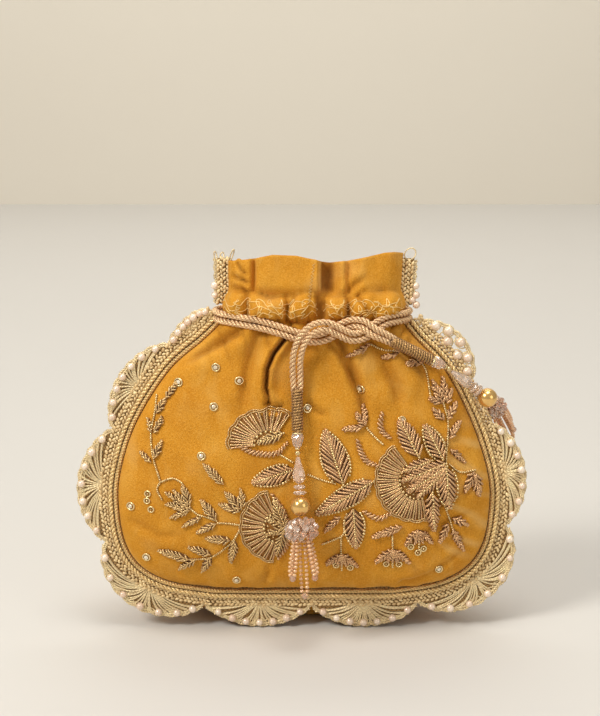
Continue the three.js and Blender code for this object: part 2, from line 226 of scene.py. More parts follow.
def centred(tree, value, strength):
    """A value from 0 to 1 turned into one round zero, times a strength."""
    return sums(tree, "MULTIPLY", sums(tree, "SUBTRACT", value, 0.5), strength)


def blend_colour(tree, share, first, second):
    return node(tree, "ShaderNodeMix", {0: share, 6: first, 7: second}, data_type="RGBA").outputs[2]


def vectors(tree, operation, first, second):
    """The output of one Vector Math node. For SCALE the second value is the scale."""
    slot = 3 if operation == "SCALE" else 1
    return node(tree, "ShaderNodeVectorMath", {0: first, slot: second}, operation=operation).outputs[0]


def new_tree(name, kind, inputs, outputs):
    """An empty node tree with named sockets, and its own inputs and outputs."""
    tree = bpy.data.node_groups.new(name, kind)
    for label, socket, value in inputs:
        made = tree.interface.new_socket(label, in_out="INPUT", socket_type=socket)
        if value is not None:
            made.default_value = value
    for label, socket in outputs:
        tree.interface.new_socket(label, in_out="OUTPUT", socket_type=socket)
    return tree, tree.nodes.new("NodeGroupInput").outputs, tree.nodes.new("NodeGroupOutput").inputs


FLOAT, COLOUR = "NodeSocketFloat", "NodeSocketColor"


def make_mottle_group():
    """Cloudy change of colour: a base, a darker and a lighter tone in patches of a given size."""
    tree, given, out = new_tree("mottle", "ShaderNodeTree", [
        ("Base", COLOUR, (0.5, 0.5, 0.5, 1)), ("Dark", COLOUR, (0.2, 0.2, 0.2, 1)),
        ("Light", COLOUR, (0.8, 0.8, 0.8, 1)), ("Size", FLOAT, 0.01), ("Spread", FLOAT, 0.5),
    ], [("Colour", COLOUR), ("Patches", FLOAT)])
    scale = sums(tree, "DIVIDE", 1.0, given["Size"])
    cloud = node(tree, "ShaderNodeTexNoise", {
        "Vector": object_place(tree), "Scale": scale, "Detail": 5.0, "Roughness": 0.6})
    patches = centred(tree, cloud.outputs[0], sums(tree, "MULTIPLY", given["Spread"], 4.0))
    up = blend_colour(tree, patches, given["Base"], given["Light"])
    down = blend_colour(tree, sums(tree, "MULTIPLY", patches, -1.0), up, given["Dark"])
    tree.links.new(down, out["Colour"])
    tree.links.new(cloud.outputs[0], out["Patches"])
    return tree


def make_twist_group():
    """The plies of a twisted thread, read from its own along and ring attributes. Groove marks the hollows
    between the plies, where painted shade goes.
    """
    tree, given, out = new_tree("twist", "ShaderNodeTree", [
        ("Pitch", FLOAT, 0.002), ("Plies", FLOAT, 2.0), ("Fineness", FLOAT, 0.0001),
    ], [("Height", FLOAT), ("Groove", FLOAT)])
    parts = node(tree, "ShaderNodeSeparateXYZ", {0: attribute(tree, "ring", "Vector")}).outputs
    angle = sums(tree, "ARCTAN2", parts[1], parts[0])
    turn = sums(tree, "MULTIPLY", sums(tree, "DIVIDE", attribute(tree, "along"), given["Pitch"]), math.tau)
    phase = sums(tree, "ADD", sums(tree, "MULTIPLY", angle, given["Plies"]), turn)
    wave = sums(tree, "ABSOLUTE", sums(tree, "SINE", sums(tree, "MULTIPLY", phase, 0.5)))
    scale = sums(tree, "DIVIDE", 1.0, given["Fineness"])
    fuzz = node(tree, "ShaderNodeTexNoise", {"Vector": object_place(tree), "Scale": scale, "Detail": 2.0})
    height = sums(tree, "ADD", wave, sums(tree, "MULTIPLY", fuzz.outputs[0], 0.3))
    tree.links.new(height, out["Height"])
    tree.links.new(sums(tree, "SUBTRACT", 1.0, wave), out["Groove"])
    return tree


def make_pile_group():
    """Velvet pile: fine fibres, and brushed streaks where it has been stroked or creased."""
    tree, given, out = new_tree("pile", "ShaderNodeTree", [
        ("Fibre", FLOAT, 0.0004), ("Brush", FLOAT, 0.02),
    ], [("Height", FLOAT), ("Brushed", FLOAT)])
    place = object_place(tree)
    fibre = node(tree, "ShaderNodeTexNoise", {
        "Vector": place, "Scale": sums(tree, "DIVIDE", 1.0, given["Fibre"]), "Detail": 2.0})
    bend = node(tree, "ShaderNodeTexNoise", {"Vector": place, "Scale": 45.0, "Detail": 1.0})
    bent = vectors(tree, "ADD", place, vectors(tree, "SCALE", bend.outputs["Color"], 0.02))
    squeeze = node(tree, "ShaderNodeMapping", {"Vector": bent, "Scale": (1.6, 1.0, 0.55)})
    brush = node(tree, "ShaderNodeTexNoise", {
        "Vector": squeeze.outputs[0], "Scale": sums(tree, "DIVIDE", 1.0, given["Brush"]), "Detail": 4.0,
        "Roughness": 0.55})
    tree.links.new(fibre.outputs[0], out["Height"])
    tree.links.new(brush.outputs[0], out["Brushed"])
    return tree


MOTTLE, TWIST, PILE = make_mottle_group(), make_twist_group(), make_pile_group()


def linear(red, green, blue):
    """A colour given as it looks on a screen, from 0 to 255."""
    parts = [v / 255 for v in (red, green, blue)]
    return tuple(v / 12.92 if v <= 0.04045 else ((v + 0.055) / 1.055) ** 2.4 for v in parts) + (1.0,)


def finish(name, **settings):
    """A material with a Principled shader, and plain values on its sockets."""
    material = bpy.data.materials.new(name)
    material.use_nodes = True
    shader = material.node_tree.nodes["Principled BSDF"]
    for label, value in settings.items():
        shader.inputs[label.replace("_", " ")].default_value = value
    return material, material.node_tree, shader


def fill_group(tree, made, values):
    return node(tree, "ShaderNodeGroup", values, node_tree=made)


def mottled(tree, base, dark, light, size, spread):
    """A cloudy tone between three colours, with patches of the given size in metres."""
    return fill_group(tree, MOTTLE, {
        "Base": base, "Dark": dark, "Light": light, "Size": size, "Spread": spread})


def shine_between(tree, shader, share, low, high):
    """Roughness that runs from low to high with a share from 0 to 1."""
    made = node(tree, "ShaderNodeMapRange", {0: share, 3: low, 4: high})
    tree.links.new(made.outputs[0], shader.inputs["Roughness"])


def bump(tree, shader, height, depth, strength):
    """Small relief: depth in metres at a height of one."""
    made = node(tree, "ShaderNodeBump", {"Height": height, "Distance": depth, "Strength": strength})
    tree.links.new(made.outputs[0], shader.inputs["Normal"])


def velvet_finish():
    """Pile that is lighter where it is stroked or rubbed, with painted shade that darkens the creases."""
    material, tree, shader = finish("gold velvet", Roughness=0.85, Sheen_Weight=0.8, Sheen_Roughness=0.3,
                                    Sheen_Tint=linear(255, 212, 128), Specular_IOR_Level=0.15)
    pile = fill_group(tree, PILE, {"Fibre": 0.00065, "Brush": 0.012})
    base = mottled(tree, linear(206, 140, 38), linear(178, 110, 24), linear(224, 168, 66), 0.026, 0.42)
    grain = centred(tree, pile.outputs["Height"], 1.3)
    bright = blend_colour(tree, grain, base.outputs["Colour"], linear(238, 186, 92))
    deep = blend_colour(tree, sums(tree, "MULTIPLY", grain, -1.0), bright, linear(138, 80, 14))
    brushed = centred(tree, pile.outputs["Brushed"], 2.2)
    stroked = blend_colour(tree, brushed, deep, linear(218, 164, 76))
    rub = sums(tree, "MULTIPLY", attribute(tree, "rub"), 0.6)
    rubbed = blend_colour(tree, rub, stroked, linear(226, 186, 116))
    # painted shade: the colour darkens to deep brown in the creases, as far as the mesh attribute says
    shaded_in_creases = blend_colour(tree, attribute(tree, "crease_shade"), rubbed, linear(112, 58, 10))
    tree.links.new(shaded_in_creases, shader.inputs["Base Color"])
    bump(tree, shader, pile.outputs["Height"], 0.0005, 0.7)
    return material


def satin_finish():
    """The lining's smooth, finely ribbed satin."""
    material, tree, shader = finish("lining satin", Roughness=0.45, Sheen_Weight=0.2)
    base = mottled(tree, linear(214, 172, 96), linear(178, 132, 60), linear(232, 198, 130), 0.01, 0.3)
    weave = node(tree, "ShaderNodeTexWave", {"Vector": object_place(tree), "Scale": 900.0, "Distortion": 1.0},
                 bands_direction="Z")
    tree.links.new(base.outputs["Colour"], shader.inputs["Base Color"])
    bump(tree, shader, weave.outputs["Fac"], 0.00005, 0.5)
    return material


def thread_finish(name, light, dark, pitch, plies, metallic, roughness, groove_shade, size=0.004,
                  depth=0.0002):
    """Metallic or rayon thread whose twist follows each thread's own length, with painted shade in the grooves
    between its plies.
    """
    light, dark = linear(*light), linear(*dark)
    material, tree, shader = finish(name, Metallic=metallic, Sheen_Weight=0.15)
    tint = mottled(tree, light, dark, tuple(min(v * 1.25, 1) for v in light), size, 0.35)
    twist = fill_group(tree, TWIST, {"Pitch": pitch, "Plies": float(plies), "Fineness": 0.00012})
    # painted shade: the grooves between the plies take the dark tone
    painted_groove_shade = sums(tree, "MULTIPLY", sums(tree, "POWER", twist.outputs["Groove"], 1.6), groove_shade)
    shade = blend_colour(tree, painted_groove_shade, tint.outputs["Colour"], dark)
    tree.links.new(shade, shader.inputs["Base Color"])
    shine_between(tree, shader, tint.outputs["Patches"], roughness - 0.08, roughness + 0.12)
    bump(tree, shader, twist.outputs["Height"], depth, 0.8)
    return material


def bead_finish(name, light, dark, metallic, roughness, clear=0.0, coat=0.0, size=0.0015):
    """Beads, pearls and crystal: each bead takes a slightly different tone."""
    light, dark = linear(*light), linear(*dark)
    material, tree, shader = finish(name, Metallic=metallic, Transmission_Weight=clear, Coat_Weight=coat,
                                    IOR=1.52)
    tint = mottled(tree, light, dark, light, size, 0.3)
    tone = sums(tree, "MULTIPLY", attribute(tree, "tone"), 0.65)
    colour = blend_colour(tree, tone, tint.outputs["Colour"], dark)
    tree.links.new(colour, shader.inputs["Base Color"])
    grain = node(tree, "ShaderNodeTexNoise", {"Vector": object_place(tree), "Scale": 900.0, "Detail": 2.0})
    shine_between(tree, shader, grain.outputs[0], max(roughness - 0.04, 0.02), roughness + 0.08)
    bump(tree, shader, grain.outputs[0], 0.00004, 0.3)
    return material


def woven_finish(name, light, dark, count, metallic, roughness):
    """Closely worked thread seen as a ground: two sets of threads crossing, so many to the metre, with painted
    shade in the gaps between them.
    """
    light, dark = linear(*light), linear(*dark)
    material, tree, shader = finish(name, Metallic=metallic)
    place = object_place(tree)
    heights = []
    for turn in (0.78, -0.78):
        lean = node(tree, "ShaderNodeMapping", {"Vector": place, "Rotation": (0.0, turn, 0.0)}).outputs[0]
        wave = node(tree, "ShaderNodeTexWave", {"Vector": lean, "Scale": count * 0.314, "Distortion": 2.0,
                                                "Detail": 1.0, "Detail Scale": 1.5}, bands_direction="X")
        heights.append(wave.outputs["Fac"])
    height = sums(tree, "MAXIMUM", *heights)
    tint = mottled(tree, light, dark, light, 0.003, 0.3)
    # painted shade: the gaps between the crossing threads take the dark tone
    tree.links.new(blend_colour(tree, sums(tree, "SUBTRACT", 1.0, height), tint.outputs["Colour"], dark),
                   shader.inputs["Base Color"])
    shine_between(tree, shader, height, roughness + 0.15, roughness)
    bump(tree, shader, height, 0.0003, 0.8)
    return material


def plain_surface(name, colour, other):
    """The floor and the wall: matt, with a faint change of tone."""
    material, tree, shader = finish(name, Roughness=0.75)
    tint = mottled(tree, linear(*colour), linear(*other), linear(*colour), 0.4, 0.15)
    tree.links.new(tint.outputs["Colour"], shader.inputs["Base Color"])
    return material


VELVET = velvet_finish()
SATIN = satin_finish()

# light and dark tone, then the twist's pitch, plies, metal and roughness, and how strong the painted shade in
# the grooves is
LACE_THREAD = thread_finish(
    "lace thread", (250, 227, 178), (144, 110, 62), 0.0016, 2, 0.35, 0.34, groove_shade=0.55)
PIPING_THREAD = thread_finish(
    "piping braid", (246, 214, 152), (136, 102, 52), 0.0012, 2, 0.45, 0.3, groove_shade=0.4)
DARK_PIPING = thread_finish(
    "dark piping braid", (232, 196, 130), (118, 88, 42), 0.0012, 2, 0.45, 0.32, groove_shade=0.45)
CORD_THREAD = thread_finish(
    "drawcord thread", (244, 204, 154), (98, 62, 34), 0.0011, 2, 0.45, 0.3, groove_shade=0.3)
WOUND_WIRE = thread_finish(
    "wound wire", (188, 146, 90), (62, 40, 20), 0.0016, 1, 0.65, 0.3, size=0.003, groove_shade=0.4)
ROSE_BULLION = thread_finish(
    "rose bullion", (230, 184, 132), (98, 60, 30), 0.0007, 1, 0.75, 0.27, size=0.003, depth=0.00012,
    groove_shade=0.8)
PALE_BULLION = thread_finish(
    "pale bullion", (234, 198, 138), (112, 78, 36), 0.0007, 1, 0.75, 0.27, size=0.003, depth=0.00012,
    groove_shade=0.7)

# light and dark tone, threads to the metre, metal and roughness
# the lace ground is a real knotted net; its dark colour is painted shade between the lace threads
LACE_NET_AND_SHADE = woven_finish("lace ground and painted shade", (172, 136, 82), (90, 64, 30), 700.0, 0.2, 0.45)
# the padding is real; its dark colour is painted shade between the bullion stitches
PADDING_AND_SHADE = woven_finish("padding threads", (138, 92, 44), (78, 48, 20), 900.0, 0.3, 0.5)
FAN_NET = woven_finish("gold net", (182, 124, 50), (104, 66, 24), 1300.0, 0.35, 0.42)

# light and dark tone, metal and roughness
LACE_STITCH = bead_finish("lace stitch", (242, 216, 164), (196, 160, 106), 0.2, 0.4, size=0.003)
COUCHING = bead_finish("couched thread", (246, 210, 134), (222, 176, 92), 0.25, 0.35)
PEARL = bead_finish("lace pearl", (246, 228, 204), (220, 184, 154), 0.12, 0.2, coat=1.0)
GOLD_BEAD = bead_finish("satin gold bead", (240, 196, 118), (222, 172, 94), 0.75, 0.2, coat=0.6, size=0.006)
CRYSTAL = bead_finish("rose crystal", (255, 236, 216), (254, 204, 168), 0.0, 0.02, clear=0.74, coat=1.0)
SEED_BEAD = bead_finish("peach seed bead", (250, 206, 158), (226, 164, 112), 0.1, 0.14, clear=0.15, coat=0.8)
STONE = bead_finish("set stone", (255, 246, 222), (226, 196, 146), 0.1, 0.05, clear=0.25, coat=1.0)
BRIGHT_BEAD = bead_finish("purl bead", (240, 216, 160), (182, 142, 84), 0.8, 0.25)


# ---------------------------------------------------------------- meshes

def piece(name, points, faces, material, smooth=True, lines=()):
    """A mesh whose place, given in the bag's own millimetres, is kept in its points."""
    name = name.replace(" ", "_")
    mesh = bpy.data.meshes.new(name)
    mesh.from_pydata(put(points).tolist(), [tuple(map(int, e)) for e in lines],
                     [tuple(map(int, f)) for f in faces])
    if material:
        mesh.materials.append(material)
    if len(mesh.polygons):
        mesh.polygons.foreach_set("use_smooth", [smooth] * len(mesh.polygons))
    made = bpy.data.objects.new(name, mesh)
    bpy.context.collection.objects.link(made)
    return made


def note(made, name, values, kind="FLOAT"):
    """Keep one value for each vertex, for a material or a tree to read."""
    values = np.asarray(values, float)
    made.data.attributes.new(name, kind, "POINT").data.foreach_set(
        "vector" if kind == "FLOAT_VECTOR" else "value", values.ravel())


def grown(source, tree, name, **values):
    """The plain mesh that a tree makes of a source piece, which is then taken away."""
    name = name.replace(" ", "_")
    modifier = source.modifiers.new("grow", "NODES")
    modifier.node_group = tree
    for item in tree.interface.items_tree:
        label = item.name.replace(" ", "_")
        if item.item_type == "SOCKET" and item.in_out == "INPUT" and label in values:
            modifier[item.identifier] = values[label]
    graph = bpy.context.evaluated_depsgraph_get()
    mesh = bpy.data.meshes.new_from_object(source.evaluated_get(graph), preserve_all_data_layers=True,
                                           depsgraph=graph)
    mesh.name = name
    made = bpy.data.objects.new(name, mesh)
    bpy.context.collection.objects.link(made)
    old = source.data
    bpy.data.objects.remove(source)
    bpy.data.meshes.remove(old)
    return made


def settle(made, body, slot, *nodes):
    """Put a piece on its body, in place of the nodes it stands for. The slot is not used."""
    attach(made, body)
    if nodes:
        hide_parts(*nodes)
    return made


def thread_section(tree, radius, sides):
    """A thread's round section, with each point's place round it kept for the twist."""
    circle = node(tree, "GeometryNodeCurvePrimitiveCircle", {
        "Resolution": sides, "Radius": radius}).outputs[0]
    return node(tree, "GeometryNodeStoreNamedAttribute", {
        "Geometry": circle, "Name": "ring", "Value": node(tree, "GeometryNodeInputPosition").outputs[0]},
        data_type="FLOAT_VECTOR", domain="POINT").outputs[0]


def covered(tree, lines, section):
    """Threads along lines, with the length along each line kept for the twist."""
    length = node(tree, "GeometryNodeSplineParameter").outputs["Length"]
    kept = node(tree, "GeometryNodeStoreNamedAttribute", {"Geometry": lines, "Name": "along", "Value": length},
                data_type="FLOAT", domain="POINT").outputs[0]
    return node(tree, "GeometryNodeCurveToMesh", {
        "Curve": kept, "Profile Curve": section, "Fill Caps": True}).outputs[0]


def close_tree(tree, out, geometry, finish_socket, smooth=True):
    """The tree's end: real geometry, its shading and its finish."""
    real = node(tree, "GeometryNodeRealizeInstances", {"Geometry": geometry}).outputs[0]
    shaded = node(tree, "GeometryNodeSetShadeSmooth", {"Geometry": real, "Shade Smooth": smooth}).outputs[0]
    done = node(tree, "GeometryNodeSetMaterial", {"Geometry": shaded, "Material": finish_socket}).outputs[0]
    tree.links.new(done, out["Geometry"])
    return tree


GEOMETRY, INTEGER, FINISH = "NodeSocketGeometry", "NodeSocketInt", "NodeSocketMaterial"


def make_thread_tree():
    """A round thread along every open line of the source."""
    tree, given, out = new_tree("threads", "GeometryNodeTree", [
        ("Geometry", GEOMETRY, None), ("Thread radius", FLOAT, 0.0005), ("Sides", INTEGER, 6),
        ("Finish", FINISH, None)], [("Geometry", GEOMETRY)])
    lines = node(tree, "GeometryNodeMeshToCurve", {"Mesh": given["Geometry"]}).outputs[0]
    section = thread_section(tree, given["Thread radius"], given["Sides"])
    return close_tree(tree, out, covered(tree, lines, section), given["Finish"])


def make_rope_tree(plies):
    """A rope of so many plies laid round every open line of the source."""
    tree, given, out = new_tree(f"rope of {plies}", "GeometryNodeTree", [
        ("Geometry", GEOMETRY, None), ("Ply radius", FLOAT, 0.0005), ("Lay radius", FLOAT, 0.0005),
        ("Pitch", FLOAT, 0.008), ("Step", FLOAT, 0.001), ("Sides", INTEGER, 6), ("Finish", FINISH, None)],
        [("Geometry", GEOMETRY)])
    lines = node(tree, "GeometryNodeMeshToCurve", {"Mesh": given["Geometry"]}).outputs[0]
    lines = node(tree, "GeometryNodeResampleCurve", {"Curve": lines, "Length": given["Step"]},
                 mode="LENGTH").outputs[0]
    length = node(tree, "GeometryNodeSplineParameter").outputs["Length"]
    normal = node(tree, "GeometryNodeInputNormal").outputs[0]
    tangent = node(tree, "GeometryNodeInputTangent").outputs[0]
    side = vectors(tree, "CROSS_PRODUCT", tangent, normal)
    turn = sums(tree, "MULTIPLY", sums(tree, "DIVIDE", length, given["Pitch"]), math.tau)
    section = thread_section(tree, given["Ply radius"], given["Sides"])
    joined = tree.nodes.new("GeometryNodeJoinGeometry")
    for ply in range(plies):
        phase = sums(tree, "ADD", turn, math.tau * ply / plies)
        along_normal = sums(tree, "MULTIPLY", sums(tree, "COSINE", phase), given["Lay radius"])
        along_side = sums(tree, "MULTIPLY", sums(tree, "SINE", phase), given["Lay radius"])
        offset = vectors(tree, "ADD", vectors(tree, "SCALE", normal, along_normal),
                         vectors(tree, "SCALE", side, along_side))
        laid = node(tree, "GeometryNodeSetPosition", {"Geometry": lines, "Offset": offset}).outputs[0]
        tree.links.new(covered(tree, laid, section), joined.inputs[0])
    return close_tree(tree, out, joined.outputs[0], given["Finish"])


def make_bead_tree(faceted):
    """A bead on every point of the source, turned to its heading and scaled by its size."""
    tree, given, out = new_tree("faceted beads" if faceted else "beads", "GeometryNodeTree", [
        ("Geometry", GEOMETRY, None), ("Bead radius", FLOAT, 0.001), ("Stretch", FLOAT, 1.0),
        ("Segments", INTEGER, 6), ("Rings", INTEGER, 4), ("Finish", FINISH, None)], [("Geometry", GEOMETRY)])
    ball = node(tree, "GeometryNodeMeshUVSphere", {
        "Segments": given["Segments"], "Rings": given["Rings"], "Radius": given["Bead radius"]}).outputs[0]
    scale = node(tree, "ShaderNodeCombineXYZ", {0: 1.0, 1: 1.0, 2: given["Stretch"]}).outputs[0]
    ball = node(tree, "GeometryNodeTransform", {"Geometry": ball, "Scale": scale}).outputs[0]
    heading = node(tree, "GeometryNodeInputNamedAttribute", {"Name": "heading"},
                   data_type="FLOAT_VECTOR").outputs[0]
    size = node(tree, "GeometryNodeInputNamedAttribute", {"Name": "size"}, data_type="FLOAT").outputs[0]
    turned = node(tree, "FunctionNodeAlignRotationToVector", {"Vector": heading}, axis="Z").outputs[0]
    placed = node(tree, "GeometryNodeInstanceOnPoints", {
        "Points": given["Geometry"], "Instance": ball, "Rotation": turned, "Scale": size}).outputs[0]
    return close_tree(tree, out, placed, given["Finish"], smooth=not faceted)


THREADS, ROPE_2, ROPE_3 = make_thread_tree(), make_rope_tree(2), make_rope_tree(3)
BEADS, FACETED = make_bead_tree(False), make_bead_tree(True)


def lines_piece(name, lines):
    """A source of open lines, each an array of points."""
    points = np.vstack(lines)
    edges, first = [], 0
    for line in lines:
        edges += [(first + k, first + k + 1) for k in range(len(line) - 1)]
        first += len(line)
    return piece(name, points, [], None, lines=edges)


def threads(name, lines, radius, material, sides):
    """One round thread along each line."""
    return grown(lines_piece(name + " lines", lines), THREADS, name, Thread_radius=radius * MILLIMETRE,
                 Sides=sides, Finish=material)


def rope(name, lines, ply, lay, pitch, step, material, sides, plies=3):
    """Plies of one radius, laid at another one round each line, with one turn for each pitch."""
    return grown(lines_piece(name + " lines", lines), ROPE_3 if plies == 3 else ROPE_2, name,
                 Ply_radius=ply * MILLIMETRE, Lay_radius=lay * MILLIMETRE, Pitch=pitch * MILLIMETRE,
                 Step=step * MILLIMETRE, Sides=sides, Finish=material)


def beads(name, places, headings, sizes, radius, material, segments, rings, stretch=1.0, faceted=False):
    """A bead on each place, stretched along its heading, each with a tone of its own."""
    source = piece(name + " places", places, [], None)
    note(source, "heading", headings, "FLOAT_VECTOR")
    note(source, "size", np.broadcast_to(sizes, (len(places),)))
    note(source, "tone", np.random.default_rng(1).random(len(places)))
    return grown(source, FACETED if faceted else BEADS, name, Bead_radius=radius * MILLIMETRE,
                 Stretch=stretch, Segments=segments, Rings=rings, Finish=material)


# ---------------------------------------------------------------- drawcord

def centripetal(points, per_span):
    """The smooth curve through uneven points that the part's source draws its cord on."""
    p = np.asarray(points, float)
    p = np.vstack([2 * p[0] - p[1], p, 2 * p[-1] - p[-2]])
    line = []
    for a, b, c, d in zip(p[:-3], p[1:-2], p[2:-1], p[3:]):
        t0 = max(np.linalg.norm(b - a) ** 0.5, 1e-4)
        t1 = max(np.linalg.norm(c - b) ** 0.5, 1e-4)
        t2 = max(np.linalg.norm(d - c) ** 0.5, 1e-4)
        start = ((b - a) / t0 - (c - a) / (t0 + t1) + (c - b) / t1) * t1
        end = ((c - b) / t1 - (d - b) / (t1 + t2) + (d - c) / t2) * t1
        for w in np.arange(per_span)[:, None] / per_span:
            line.append(b + start * w + (3 * (c - b) - 2 * start - end) * w**2
                        + (2 * (b - c) + start + end) * w**3)
    return np.vstack([np.vstack(line), p[-2]])


def strand_route(side):
    """One strand's route: beside the other one, and squeezed together inside the two sleeves."""
    front_end, right_end = (-3.4, -22.6, 122.6, -90), (43.6, -18.2, 147.4, 28)
    route = np.array([front_end, *DRAWCORD_ROUTE, right_end], float)
    tilt = np.radians(route[:, 3])
    offset = side * STRAND_OFFSET * np.ones(len(route))
    offset[[0, -1]] *= 0.62
    offset[[1, -2]] *= 0.86
    return route[:, :3] + offset[:, None] * np.stack([np.sin(tilt), 0 * tilt, np.cos(tilt)], axis=1)


def make_drawcord():
    """The two laid strands, and the path of each in the frame."""
    strands = {}
    for name, side in (("drawcord_upper", 1), ("drawcord_lower", -1)):
        line = centripetal(strand_route(side), 8)
        made = rope(name + " laid", [line], ply=0.68, lay=0.94, pitch=6.8, step=0.5, material=CORD_THREAD,
                    sides=8)
        settle(made, "bag", "drawcord", name)
        strands[made] = put(line)
    return strands


# ---------------------------------------------------------------- velvet and lining

CASING_FOOT, CASING_TOP = 156.2, 169.4
RUFFLE_FOOT, HEM = 168, 184


def base_panel(side_line, across, rise, inset):
    """The body's smooth surface, without folds: across runs from -1 to 1 and rise from 0 to 1."""
    out = -1 if side_line is FRONT_LINE else 1
    nudge = 0.002
    seam = through(SEAM_LINE, rise)
    seam_run = through(SEAM_LINE, rise + nudge) - through(SEAM_LINE, rise - nudge)
    seam_run[..., 1] = 0
    seam_run = unit(seam_run)
    middle = through(side_line, rise)
    middle_run = through(side_line, rise + nudge) - through(side_line, rise - nudge)
    middle_run[..., 0] = 0
    middle_run = unit(middle_run)
    half = seam[..., 0] - inset * seam_run[..., 2]
    puffed = np.sin(math.pi * np.clip((seam[..., 2] - 156) / 14.5, 0, 1)) ** 1.3
    half = half + 2.6 * puffed * np.abs(across) ** 3
    seam_z = seam[..., 2] + inset * seam_run[..., 0]
    middle_y = middle[..., 1] - inset * out * middle_run[..., 2]
    middle_z = middle[..., 2] + inset * out * middle_run[..., 1]
    bulge = np.maximum(out * (middle_y - seam[..., 1]), 0)
    depth = np.maximum(1 - np.abs(across) ** SECTION, 0) ** (1 / SECTION)
    x = middle[..., 0] + half * across
    y = seam[..., 1] + out * (bulge * depth + 0.15)
    z = np.maximum(seam_z + (middle_z - seam_z) * depth, inset)
    return np.stack([x, y, z], axis=-1)


def near_line(x, z, path):
    """For each place: the distance to a path and the share along it."""
    path = np.asarray(path, float)
    steps = np.linalg.norm(np.diff(path, axis=0), axis=1)
    reach = np.concatenate([[0], np.cumsum(steps)])
    best = np.full(x.shape, 1e9)
    share = np.zeros(x.shape)
    for k, (a, b) in enumerate(zip(path[:-1], path[1:])):
        run = b - a
        t = np.clip(((x - a[0]) * run[0] + (z - a[1]) * run[1]) / (run @ run), 0, 1)
        gap = np.hypot(x - a[0] - t * run[0], z - a[1] - t * run[1])
        closer = gap < best
        best = np.where(closer, gap, best)
        share = np.where(closer, (reach[k] + t * steps[k]) / reach[-1], share)
    return best, share


# path in x and z, depth, half width, lift beside it, and how dark its painted shade is
FRONT_CREASES = [
    ([(-4.6, 153), (-8.8, 149), (-14.4, 141.8), (-17.4, 134.8), (-18.2, 126), (-16.8, 120.4), (-17.4, 115)],
     4.8, 0.95, 2.2, 1.0),
    ([(-17.6, 118.6), (-13.5, 116.4), (-9.0, 117.0)], 2.0, 1.2, 0.9, 0.5),
    ([(14.5, 152), (17.6, 146), (21.6, 137.4), (27.4, 120.4), (29.4, 108)], 2.9, 1.9, 1.5, 0.45),
    ([(-32, 151), (-38, 147.6), (-47.3, 142.7), (-58, 136)], 2.8, 2.3, 1.7, 0.4),
    ([(1.8, 118), (6.6, 114.5), (11.4, 112.6)], 1.3, 1.3, 0.6, 0.25),
    ([(-21, 152), (-25.5, 140), (-28, 128), (-29, 113)], 2.4, 2.6, 1.4, 0.25),
    ([(10, 149), (17.4, 141), (21.7, 133), (24.6, 124)], 1.5, 1.6, 0.7, 0.25),
    ([(30, 150), (38, 139), (44, 126), (47, 113)], 2.2, 2.8, 1.3, 0.25),
    ([(40, 148), (52, 138), (62, 127)], 2.2, 2.4, 1.1, 0.25),
    ([(56, 52), (70, 60), (84, 63)], 0.7, 1.6, 0.5, 0.08),
    ([(58, 66), (74, 72), (87, 80)], 0.7, 1.8, 0.5, 0.08),
    ([(48, 26), (64, 33), (80, 45)], 0.8, 1.6, 0.6, 0.12),
    ([(-20, 27), (-17, 33), (-18, 40)], 0.7, 1.4, 0.5, 0.1),
    ([(6, 26), (8, 32), (6, 40)], 0.6, 1.4, 0.5, 0.1),
    ([(-84, 58), (-70, 52), (-58, 53)], 0.7, 2.0, 0.5, 0.08),
]
BACK_CREASES = [
    ([(-28, 151), (-38, 132), (-48, 108), (-52, 88)], 3.0, 3.2, 1.6, 0.4),
    ([(-12, 151), (-17, 128), (-20, 102)], 3.2, 2.6, 1.6, 0.5),
    ([(6, 151), (5, 134), (9, 112), (8, 92)], 2.4, 3.0, 1.4, 0.3),
    ([(24, 151), (33, 130), (40, 104)], 3.2, 2.8, 1.6, 0.45),
    ([(38, 150), (54, 132), (64, 112)], 2.2, 3.2, 1.2, 0.25),
]
# small wrinkles above the cord: path, depth, half width, lift, darkness of the painted shade
FRONT_WRINKLES = [
    ([(-34, 179), (-30, 177.5), (-25, 174.4)], 1.3, 0.9, 0.7, 0.4),
    ([(-34, 172.5), (-29, 172), (-25, 169)], 1.2, 0.9, 0.6, 0.4),
    ([(-31, 185), (-29.3, 181.5), (-26, 179)], 1.2, 0.8, 0.5, 0.4),
    ([(21, 171), (24, 175), (29, 177.5)], 1.0, 1.3, 0.7, 0.25),
    ([(25.6, 168), (28, 163.5), (31, 159.5)], 1.5, 1.0, 0.8, 0.4),
    ([(-4.6, 168), (-7.6, 163.5), (-8.2, 159)], 1.0, 0.9, 0.3, 0.4),
    ([(12, 183), (9.6, 177), (9, 171)], 1.0, 1.6, 0.4, 0.2),
]
BACK_WRINKLES = [
    ([(26, 183), (25, 175), (27, 168)], 1.2, 1.4, 0.6, 0.3),
    ([(-14, 182), (-13, 174), (-16, 168)], 1.2, 1.3, 0.6, 0.3),
]
